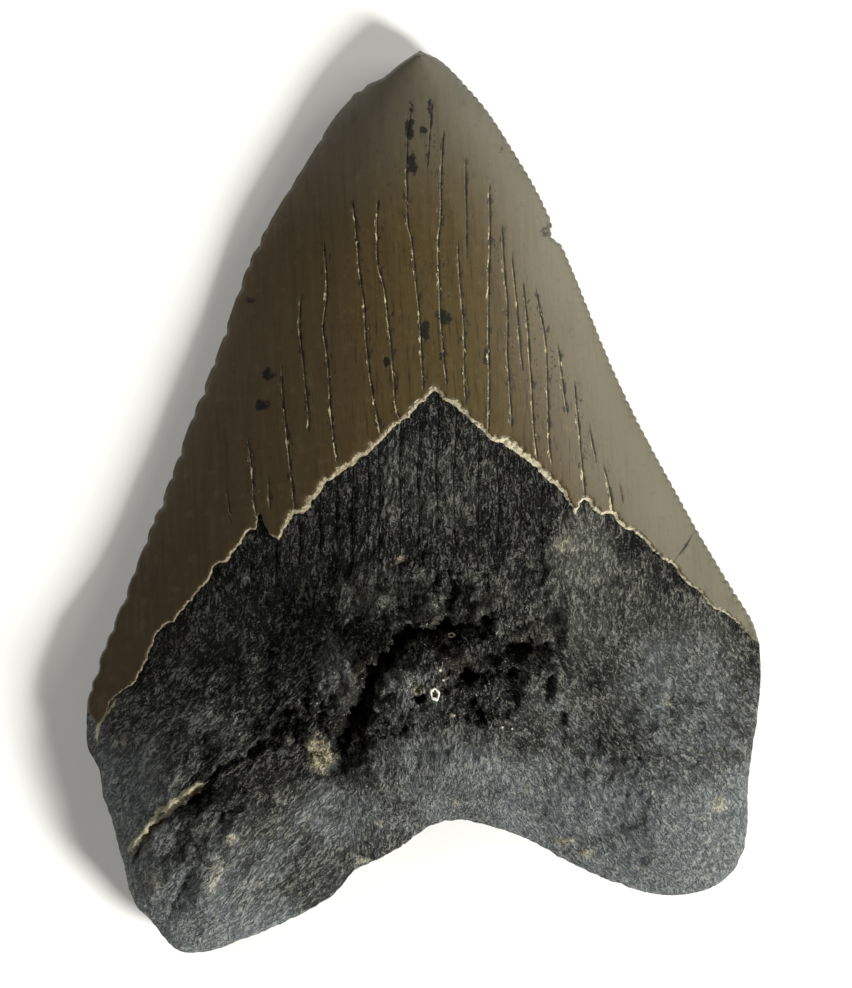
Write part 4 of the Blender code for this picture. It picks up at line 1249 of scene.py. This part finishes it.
def outline_part(line, above):
    """A piece's loop: the outline on one side of a line across the tooth, closed along that line.

    Returns the loop, clockwise, and how many of its points are on the line, which stand first.
    """
    gap, _ = distance_to_path(OUTLINE, line)
    keep = gap > SEAM if above else gap < -SEAM
    first = int(np.flatnonzero(keep & ~np.roll(keep, 1))[0])
    side = np.roll(OUTLINE, -first, axis=0)[np.roll(keep, -first)]
    reach, _ = distance_to_path(line, CLOSED)
    across = line[inside(line, OUTLINE) & (np.abs(reach) > SEAM)]
    if above:
        across = across[::-1]
    return np.vstack((across, side)), len(across)


def rows_beside(line, offsets):
    return [pushed_in(line, offset) for offset in offsets]


def ragged(path):
    """A crack's line: its few points joined, with the small jogs of a real crack."""
    points = curve_through(path, CRACK_SPACING)
    seed = round(abs(path[0][0]) * 10 + abs(path[-1][1]) * 7)
    shift = 0.05 * lumpy(points, 3.1, seed) + 0.02 * lumpy(points, 0.7, seed + 1)
    return points + np.column_stack((shift, np.zeros(len(points))))


def crack_values(points, cracks):
    """For each point: its signed gap to the nearest crack, how far down it is, its width and its paleness."""
    best = np.full(len(points), FAR)
    second = np.full(len(points), FAR)
    found = np.tile((FAR, 0.0, 0.0, 0.0), (len(points), 1))
    for index, (path, width, pale) in enumerate(cracks):
        line = ragged(path)
        near = near_box(points, line, 2.5)
        gap, place = distance_to_path(points[near], line)
        length = len(line) * CRACK_SPACING
        fade = np.sqrt(np.clip(np.minimum(place / 3.0, (length - place) / 0.8), 0.0, 1.0))
        values = np.column_stack((-gap, place + 40.0 * index, width * fade, pale * fade))
        rows = np.flatnonzero(near)
        nearer = np.abs(gap) < best[rows]
        second[rows] = np.where(nearer, best[rows], np.minimum(second[rows], np.abs(gap)))
        best[rows[nearer]] = np.abs(gap)[nearer]
        found[rows[nearer]] = values[nearer]
    # Halfway to the next crack, and well away from any, no crack shows.
    found[:, 2:] *= (smooth(0.45, 0.9, second - best) * smooth(1.3, 0.8, best))[:, None]
    return found


def blade_values(survey):
    """Along the outline, inward of it, and how far its serrations are kept."""
    right = smooth(-18.0, -13.0, survey.y) * (1.0 - 0.6 * smooth(50.0, 54.0, survey.y))
    left = smooth(-24.0, -18.0, survey.y) * 0.2
    return np.column_stack((survey.place, survey.reach, np.where(survey.x > -0.5, right, left)))


def across_crown(survey):
    """0 at the crown's left edge and 1 at its right one."""
    left, right = crown_sides(LEFT_EDGE, survey.y)
    return np.clip((survey.x - left) / np.maximum(right - left, 1.0), 0.0, 1.0)


def inward_from(survey):
    """At each point, the direction from the nearest part of the outline into the tooth."""
    ways = inward_of(CLOSED)
    run = np.concatenate(([0.0], np.cumsum(np.linalg.norm(np.diff(CLOSED, axis=0), axis=1))))
    near = [np.interp(survey.place, run, ways[:, k]) for k in (0, 1)]
    return np.column_stack((*near, np.zeros(len(survey.x))))


def furrow_values(survey):
    """Each point's signed gap to the nearest furrow of the bare band, and how strong the furrow is there."""
    points = wandered(survey.points, FURROW_WANDER)
    found = np.full(len(points), FAR)
    strength = np.zeros(len(points))
    for x, _, bottom in FURROWS:
        gap = points[:, 0] - x
        nearer = np.abs(gap) < np.abs(found)
        found = np.where(nearer, gap, found)
        fade = smooth(bottom - 3.0, bottom + 2.0, survey.y) * smooth(0.9, 0.5, np.abs(gap))
        strength = np.where(nearer, fade, strength)
    return np.column_stack((found, strength, np.zeros(len(points))))


def strip_values(survey):
    """Each point's gap to the nearest crust strip, + outside it, how far along that is, and if it is slim."""
    points = wandered(survey.points, ((3.0, 0.3), (0.9, 0.15)))
    found = np.tile((FAR, 0.0, 0.0), (len(points), 1))
    for slim, path in enumerate(CRUST_STRIPS):
        gap, place = distance_to_path(points, np.array(path))
        nearer = np.abs(gap) < np.abs(found[:, 0])
        found[nearer] = np.column_stack((gap * (1 + slim), place, np.full(len(gap), slim)))[nearer]
    return found


def build_enamel(settings):
    """The enamel crown with all that it covers: serrated blades, cracks and a broken lower edge."""
    loop, crossing = outline_part(OUTER_EDGE, True)
    cracks = [row for path, _, _ in CRACKS for row in rows_beside(ragged(path), CRACK_ROWS)]
    blades = [row for edge in (RIGHT, LEFT) for row in rows_beside(edge, BLADE_ROWS)]
    rows = rows_beside(EDGE, EDGE_ROWS) + cracks + blades
    front = with_rows(loop, lattice(loop, ENAMEL_CELL, steps_past(EDGE, 0.0, 8, 2)), rows, 0.16)
    back_rows = blades + rows_beside(OUTER_EDGE, OUTER_EDGE_ROWS)
    back = with_rows(loop, lattice(loop, ENAMEL_CELL, lambda points: np.full(len(points), 4)), back_rows, 0.2)

    def rim(survey):
        heights = survey.side.copy()
        heights[:crossing] = outer_face(survey)[:crossing] + OUTER_RIM
        return heights

    piece, survey = closed_piece("enamel_crown", loop, rim, front, back, crown_top, crown_bottom)
    inner = survey.facing > 0
    cracked = np.tile((FAR, 0.0, 0.0, 0.0), (len(inner), 1))
    cracked[inner] = crack_values(survey.points[inner], CRACKS)
    cracked[~inner] = crack_values(survey.points[~inner], OUTER_CRACKS)
    over, under = survey.above / edge_bevel(survey), survey.outer / OUTER_BEVEL
    attribute(piece, "blade", blade_values(survey))
    attribute(piece, "inward", inward_from(survey))
    attribute(piece, "crack", cracked[:, :3])
    attribute(piece, "paleness", cracked[:, 3])
    attribute(piece, "broken", np.clip(1.0 - np.where(inner, over, under), 0.0, 1.0))
    stained = wandered(survey.points, ((2.0, 0.2), (0.8, 0.25)))
    attribute(piece, "stain", ellipses(stained, STAINS) * inner)
    attribute(piece, "tone", np.column_stack((across_crown(survey), survey.above, np.zeros(len(inner)))))
    material = enamel_material(look_of(settings))
    return applied(piece, crown_tree(settings), settings, material)


def build_root(settings):
    """The root and the bare band under the enamel, with their channels, pits and worn grain."""
    loop, crossing = outline_part(COVERED, False)
    above, _ = near_distance(loop, EDGE, 3.0)
    tucked = smooth(0.0, 1.0, above) * (np.arange(len(loop)) >= crossing)
    loop = pushed_in(loop, TUCK * tucked)
    sides = rows_beside(ROOT_SIDE, ROOT_SIDE_ROWS)
    front = with_rows(loop, lattice(loop, ROOT_CELL, steps_past(EDGE, 0.25, 1, 8)), sides, 0.15)
    back = with_rows(loop, lattice(loop, ROOT_CELL, steps_past(OUTER_EDGE, 0.25, 2, 8)), sides, 0.2)

    def rim(survey):
        heights = survey.side.copy()
        heights[:len(loop)] += 0.25 * tucked
        # Near the crown's edges it is thinner than the rim is deep, so the rim stays above its outer face.
        heights[:crossing] = np.maximum(wall_top(survey), crown_bottom(survey) + 0.1)[:crossing]
        return heights

    piece, survey = closed_piece("bone_root", loop, rim, front, back, root_top, root_underside)
    inner = survey.facing > 0
    points = wandered(survey.points, ((3.2, 0.6), (1.1, 0.35), (0.4, 0.15)))
    coat = ellipses(points, CRUSTS)
    rubble = ellipses(points, RUBBLE) * smooth(0.0, -3.0, survey.above)
    bare = smooth(-2.0, -10.0, survey.above)
    calm = np.where(inner, smooth(0.3, -0.1, survey.above), smooth(0.3, -0.1, survey.outer) * 0.7)
    side = smooth(0.4, -0.2, survey.above) * 0.6
    calm = np.where(survey.facing == 0, np.where(np.arange(len(inner)) < crossing, 0.0, side), calm)
    worn = ellipses(survey.points, WORN_AND_LIT)
    worn += 0.25 * smooth(4.0, 0.0, survey.reach) * smooth(-14.0, -26.0, survey.y)
    # Painted shade: black in the deepest channels and pits.
    deep_shade = smooth(1.8, 3.3, relief(survey)) * 0.7
    attribute(piece, "flow", np.column_stack((survey.x, survey.y, survey.height)))
    attribute(piece, "wear", np.column_stack((rubble * inner, bare, calm)))
    # The cover attribute holds the wear, partly painted light, then the crusts, then the painted shade of the
    # deep hollows.
    attribute(piece, "cover", np.column_stack((np.where(inner, worn, 0.55), coat * inner, deep_shade * inner)))
    attribute(piece, "furrow", furrow_values(survey))
    attribute(piece, "strip", strip_values(survey))
    attribute(piece, "density", (coat > 0.62) * inner * settings.grain_cover)
    return piece


# Shell rings caught near the cavity: (x, y, x radius, y radius, thickness, angle, how white)
RINGS = ((1.3, -23.1, 0.46, 0.64, 0.18, 0.3, 1.0), (3.3, -16.1, 0.36, 0.24, 0.1, 0.0, 0.2))
# Beads beside them: (x, y, radius, how white)
BEADS = (
    (3.4, -25.6, 0.42, 0.1), (1.9, -20.2, 0.22, 0.6), (2.3, -21.4, 0.18, 0.6), (9.4, -27.2, 0.16, 0.8),
    (10.6, -27.4, 0.14, 0.8),
)


def ring_mesh(centre, radii, thickness, angle, turns=20, sides=8):
    """The points and faces of a small uneven ring."""
    points, faces = [], []
    for i in range(turns):
        way = 2 * math.pi * i / turns
        fat = thickness * (1.0 + 0.3 * math.sin(3 * way + 1.0) + 0.25 * math.sin(7 * way))
        for k in range(sides):
            roll = 2 * math.pi * k / sides
            out = 1.0 + 0.1 * math.sin(5 * way + 2.0) + fat * math.cos(roll) / max(radii)
            wide, long = (radius * out for radius in radii)
            flat = Vector((wide * math.cos(way), long * math.sin(way), fat * math.sin(roll)))
            flat.rotate(Euler((0.15, 0.1, angle)))
            points.append(Vector(centre) + flat)
            here, ahead = i * sides, (i + 1) % turns * sides
            after = (k + 1) % sides
            faces.append((here + k, ahead + k, ahead + after, here + after))
    return points, faces


def surface_height(piece, x, y):
    """The height of a piece's upper face over a drawn place, in drawn millimetres."""
    flat = placed(np.array(((x, y),)), np.zeros(1))[0]
    above = Vector((flat[0], flat[1], CAD_HIGH.z + 0.01))
    hit, point, _, _ = piece.ray_cast(above, Vector((0.0, 0.0, -1.0)))
    if not hit:
        raise RuntimeError(f"{piece.name} has no face over {x}, {y}")
    return (point.z - CAD_LOW.z) / UNIT


def build_sediment(settings, root):
    """The grains on the root's crusts, with the shell rings and beads near the cavity."""
    piece = bpy.data.objects.new("sediment", root.data.copy())
    bpy.context.scene.collection.objects.link(piece)
    material = sediment_material(look_of(settings))
    applied(piece, sediment_tree(settings, settings.seed), settings, material)
    mesh = bmesh.new()
    mesh.from_mesh(piece.data)
    shell = [0.0] * len(mesh.verts)
    for x, y, rx, ry, thickness, angle, white in RINGS:
        ground = max(surface_height(root, x + dx * rx, y + dy * ry) for dx in (-1, 0, 1) for dy in (-1, 0, 1))
        centre = (x, y, ground + thickness * 0.3)
        points, faces = ring_mesh(centre, (rx, ry), thickness, angle)
        plan = np.array(points)
        made = [mesh.verts.new(point) for point in placed(plan[:, :2], plan[:, 2]).tolist()]
        for face in faces:
            mesh.faces.new([made[k] for k in face])
        shell += [white] * len(made)
    for x, y, radius, white in BEADS:
        height = surface_height(root, x, y) + radius * 0.5
        place = placed(np.array(((x, y),)), np.array((height,)))[0]
        squashed = Matrix.Translation(place) @ Matrix.Diagonal((1.0, 0.85, 0.7, 1.0))
        bmesh.ops.create_icosphere(mesh, subdivisions=2, radius=radius * UNIT, matrix=squashed)
        shell += [white] * (len(mesh.verts) - len(shell))
    mesh.to_mesh(piece.data)
    mesh.free()
    piece.data.materials.clear()
    piece.data.materials.append(material)
    piece.data.polygons.foreach_set("material_index", [0] * len(piece.data.polygons))
    piece.data.shade_smooth()
    attribute(piece, "shell", np.array(shell))
    return piece


def hold(piece):
    """Ties a finished piece to the frame."""
    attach(piece, BODY)
    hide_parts(NODE)


# ---------------------------------------------------------------------------------------------------------
# Settings

def length(name, description, default):
    """A length setting. Its default is given in drawn millimetres."""
    return FloatProperty(name=name, description=description, default=default * UNIT, min=0.0, unit="LENGTH",
                         precision=5)


def colour(name, description, red, green, blue):
    """A colour setting. Its default is given from 0 to 255."""
    return FloatVectorProperty(name=name, description=description, subtype="COLOR", min=0.0, max=1.0,
                               default=linear(red, green, blue))


def amount(name, description, default, unit="NONE", least=0.0):
    """A setting that is a plain number, a length in metres or a lamp's power."""
    return FloatProperty(name=name, description=description, default=default, min=least, unit=unit)


def look_of(settings):
    """A property group's colours by their identifiers, as colour sockets hold them."""
    items = [item for item in settings.bl_rna.properties if getattr(item, "subtype", "") == "COLOR"]
    return {item.identifier: (*getattr(settings, item.identifier), 1.0) for item in items}


class EnamelSettings(bpy.types.PropertyGroup):
    """Sizes and colours of the enamel crown"""

    pitch: length("Serration pitch", "Distance from one serration to the next", 1.0)
    depth: length("Serration depth", "Depth of the notches between serrations", 0.21)
    ridge: length("Serration ridge", "Depth of the grooves that run up from the notches", 0.01)
    crack_depth: length("Crack depth", "Depth of the cracks down the enamel", 0.05)
    crack_width: length("Crack width", "Half the width of a full crack", 0.06)
    torn: length("Break roughness", "Height of the grain on the broken edge", 0.14)
    ripple: length("Ripple height", "Height of the soft ripples along the crown", 0.01)
    shade: colour("Left side", "Enamel at the crown's left edge", 68, 57, 39)
    middle: colour("Middle", "Enamel left of the middle", 66, 54, 33)
    warm: colour("Warm band", "Enamel right of the middle", 70, 59, 35)
    # The right side's grey is partly the enamel's own colour, partly painted sheen.
    margin: colour("Right side", "Enamel at the crown's right edge", 84, 80, 62)
    # The tip's grey is partly its own colour, partly painted sheen.
    tip: colour("Tip", "Enamel at the tip", 86, 84, 74)
    light_streak: colour("Light streaks", "Pale streaks and specks", 100, 88, 58)
    # Dark streaks, and also the painted shade low on the crown's left side.
    dark_streak: colour("Dark streaks", "Dark streaks", 34, 27, 15)
    stain: colour("Stain", "Dark mineral stains", 17, 17, 16)
    # Partly the cracks' dark filling, partly painted shade on their right walls.
    crack: colour("Crack", "Inside of the cracks", 12, 10, 8)
    # Partly chipped enamel, partly a painted highlight on the cracks' lit left walls.
    chip: colour("Chipped flank", "Pale enamel along the cracks", 134, 120, 86)
    flake: colour("Flaked spots", "Bare spots where enamel has flaked off along a crack", 168, 158, 124)
    break_light: colour("Broken edge, pale", "Pale parts of the enamel's broken edge", 146, 138, 113)
    break_pale: colour("Broken edge, bleached", "The broken edge's right half", 186, 179, 152)
    break_dark: colour("Broken edge, dark", "Stained parts of the enamel's broken edge", 98, 86, 62)


class RootSettings(bpy.types.PropertyGroup):
    """Sizes and colours of the root"""

    grain: length("Grain height", "Height of the fibrous grain", 0.2)
    grain_width: length("Grain width", "Width of a fibre", 0.5)
    grain_length: length("Grain length", "Length of a fibre", 2.4)
    pebble: length("Pebble height", "Height of the worn pebbling", 0.36)
    pebble_size: length("Pebble size", "Size of the worn pebbling", 1.25)
    rubble: length("Rubble height", "Height of the lumps around the cavity", 1.5)
    rubble_size: length("Rubble size", "Size of the lumps around the cavity", 1.9)
    pore: length("Pore depth", "Depth of the pores", 0.2)
    pore_size: length("Pore size", "Distance between pores", 2.1)
    grain_cover: amount("Grain cover", "Sediment grains on a square metre of crust", 1.0e7)
    # Black bone, and also the painted shade in hollows and furrows.
    black: colour("Black", "Sheltered bone and hollows", 6, 6, 7)
    dark: colour("Dark", "Unworn bone", 17, 17, 17)
    # The greys are worn bone; on the lower lobes and the lower right they also carry painted light.
    grey: colour("Grey", "Worn bone", 60, 61, 58)
    olive: colour("Olive grey", "Worn bone nearer the enamel", 82, 83, 73)
    pale_grey: colour("Pale grey", "The most worn bone", 103, 108, 110)
    # Partly rubbed tops of the grain, partly painted glints.
    fleck: colour("Fleck", "Rubbed tops of the grain", 166, 166, 155)
    # Painted glints on the grain, not grains of their own.
    spark: colour("Spark", "Rare white grains", 214, 212, 200)
    brown: colour("Brown", "Iron stains", 74, 62, 46)
    crust: colour("Crust", "Pale mineral crust", 172, 166, 138)
    bleached: colour("Bleached crust", "The crusts near the root's ends", 168, 168, 156)


class SedimentSettings(bpy.types.PropertyGroup):
    """Sizes and colours of the sediment that clings to the root"""

    radius: length("Grain radius", "Radius of the largest grains", 0.16)
    seed: IntProperty(name="Seed", description="Changes where the grains lie", default=7, min=0)
    brown: colour("Brown", "Stained grains", 84, 70, 50)
    crust: colour("Crust", "Pale grains", 150, 144, 116)
    shell: colour("Shell", "Bits of shell", 196, 190, 176)


class StageSettings(bpy.types.PropertyGroup):
    """The floor, the lights and the camera"""

    floor: colour("Floor", "Colour of the floor", 236, 236, 234)
    floor_size: amount("Floor size", "Side of the floor", 3.0, "LENGTH", 0.5)
    distance: amount("Camera distance", "Height of the camera over the tooth", 0.8, "LENGTH", 0.2)
    key: amount("Key light", "Power of the light at the lower right", 27.0, "POWER")
    side: amount("Side light", "Power of the wide soft light at the right", 7.8, "POWER")
    fill: amount("Fill light", "Power of the faint light at the upper left", 7.0, "POWER")
    sky: amount("Sky", "Strength of the even light from all round", 0.05)


# ---------------------------------------------------------------------------------------------------------
# Operators

class BuildEnamel(bpy.types.Operator):
    """Build the enamel crown"""

    bl_idname = "fossil_tooth.enamel"
    bl_label = "Enamel crown"

    def execute(self, context):
        piece = build_enamel(context.scene.fossil_enamel)
        hold(piece)
        return {"FINISHED"}


class BuildRoot(bpy.types.Operator):
    """Build the root and the sediment that clings to it"""

    bl_idname = "fossil_tooth.root"
    bl_label = "Root and sediment"

    def execute(self, context):
        settings = context.scene.fossil_root
        root = build_root(settings)
        applied(root, root_tree(settings), settings, root_material(look_of(settings)))
        sediment = build_sediment(context.scene.fossil_sediment, root)
        for piece in (root, sediment):
            hold(piece)
        return {"FINISHED"}


class BuildStage(bpy.types.Operator):
    """Build the floor, the lights and the camera"""

    bl_idname = "fossil_tooth.stage"
    bl_label = "Stage"

    def execute(self, context):
        build_stage(context.scene)
        return {"FINISHED"}


# What the camera sees, in drawn millimetres
VIEW_CENTRE = (0.24, 0.85)
VIEW_WIDTH = 103.9  # how much it sees across at the height of VIEW_PLANE
VIEW_PLANE = 4.0
VIEW_PIXELS = (852, 988)
SENSOR = 36.0  # millimetres


def area_light(name, place, size, power, tint, glossy=True):
    """A soft light of some (width, height) at a place, aimed at the tooth, with or without a reflection."""
    light = bpy.data.lights.new(name, "AREA")
    light.shape = "RECTANGLE"
    light.size, light.size_y = size
    light.energy = power
    light.color = tint
    lamp = bpy.data.objects.new(name, light)
    lamp.location = place
    lamp.visible_glossy = glossy
    lamp.rotation_euler = (-Vector(place)).to_track_quat("-Z", "Y").to_euler()
    bpy.context.scene.collection.objects.link(lamp)


def build_stage(scene):
    """A pale floor under the tooth, soft lights and a camera straight above."""
    settings = scene.fossil_stage
    mesh = bpy.data.meshes.new("floor")
    half = settings.floor_size / 2
    corners = [(-half, -half), (half, -half), (half, half), (-half, half)]
    mesh.from_pydata([(x, y, CAD_LOW.z) for x, y in corners], [], [(0, 1, 2, 3)])
    floor = bpy.data.objects.new("floor", mesh)
    mesh.materials.append(floor_material(look_of(settings)["floor"]))
    scene.collection.objects.link(floor)

    area_light("key_light", (0.76, -0.62, 0.56), (0.3, 0.3), settings.key, (1.0, 0.99, 0.96))
    area_light("side_light", (1.0, 0.42, 0.42), (0.7, 0.8), settings.side, (1.0, 0.98, 0.9))
    area_light("fill_light", (-0.75, 0.45, 0.75), (1.0, 0.8), settings.fill, (1.0, 0.98, 0.94), False)
    world = bpy.data.worlds.new("sky")
    world.use_nodes = True
    background = world.node_tree.nodes["Background"]
    background.inputs["Color"].default_value = (0.93, 0.97, 1.0, 1.0)
    background.inputs["Strength"].default_value = settings.sky
    scene.world = world
    scene.view_settings.view_transform = "Standard"

    camera = bpy.data.cameras.new("camera")
    eye = bpy.data.objects.new("camera", camera)
    aim = placed(np.array((VIEW_CENTRE,)), np.array((VIEW_PLANE,)))[0]
    eye.location = Vector(aim) + Vector((0.0, 0.0, settings.distance))
    # The view is taller than wide, so the sensor's width spans its height.
    camera.sensor_width = SENSOR
    camera.lens = SENSOR * settings.distance / (VIEW_WIDTH * UNIT * VIEW_PIXELS[1] / VIEW_PIXELS[0])
    camera.clip_start = 0.01
    scene.collection.objects.link(eye)
    scene.camera = eye


class FossilPanel(bpy.types.Panel):
    """Lists the tooth's settings and the buttons that build it"""

    bl_idname = "VIEW3D_PT_fossil_tooth"
    bl_label = "Fossil tooth"
    bl_space_type = "VIEW_3D"
    bl_region_type = "UI"
    bl_category = "Fossil tooth"

    def draw(self, context):
        groups = (("fossil_enamel", ("enamel",)), ("fossil_root", ()), ("fossil_sediment", ("root",)),
                  ("fossil_stage", ("stage",)))
        for name, buttons in groups:
            settings = getattr(context.scene, name)
            box = self.layout.box()
            for item in settings.bl_rna.properties:
                if item.identifier not in ("rna_type", "name"):
                    box.prop(settings, item.identifier)
            for button in buttons:
                box.operator(f"fossil_tooth.{button}")


GROUPS = {"fossil_enamel": EnamelSettings, "fossil_root": RootSettings, "fossil_sediment": SedimentSettings,
          "fossil_stage": StageSettings}
CLASSES = (*GROUPS.values(), BuildEnamel, BuildRoot, BuildStage, FossilPanel)


def register():
    for item in CLASSES:
        bpy.utils.register_class(item)
    for name, group in GROUPS.items():
        setattr(bpy.types.Scene, name, PointerProperty(type=group))


def unregister():
    for name in GROUPS:
        delattr(bpy.types.Scene, name)
    for item in reversed(CLASSES):
        bpy.utils.unregister_class(item)


def main():
    register()
    bpy.ops.fossil_tooth.enamel()
    bpy.ops.fossil_tooth.root()
    bpy.ops.fossil_tooth.stage()


if __name__ == "__main__":
    main()
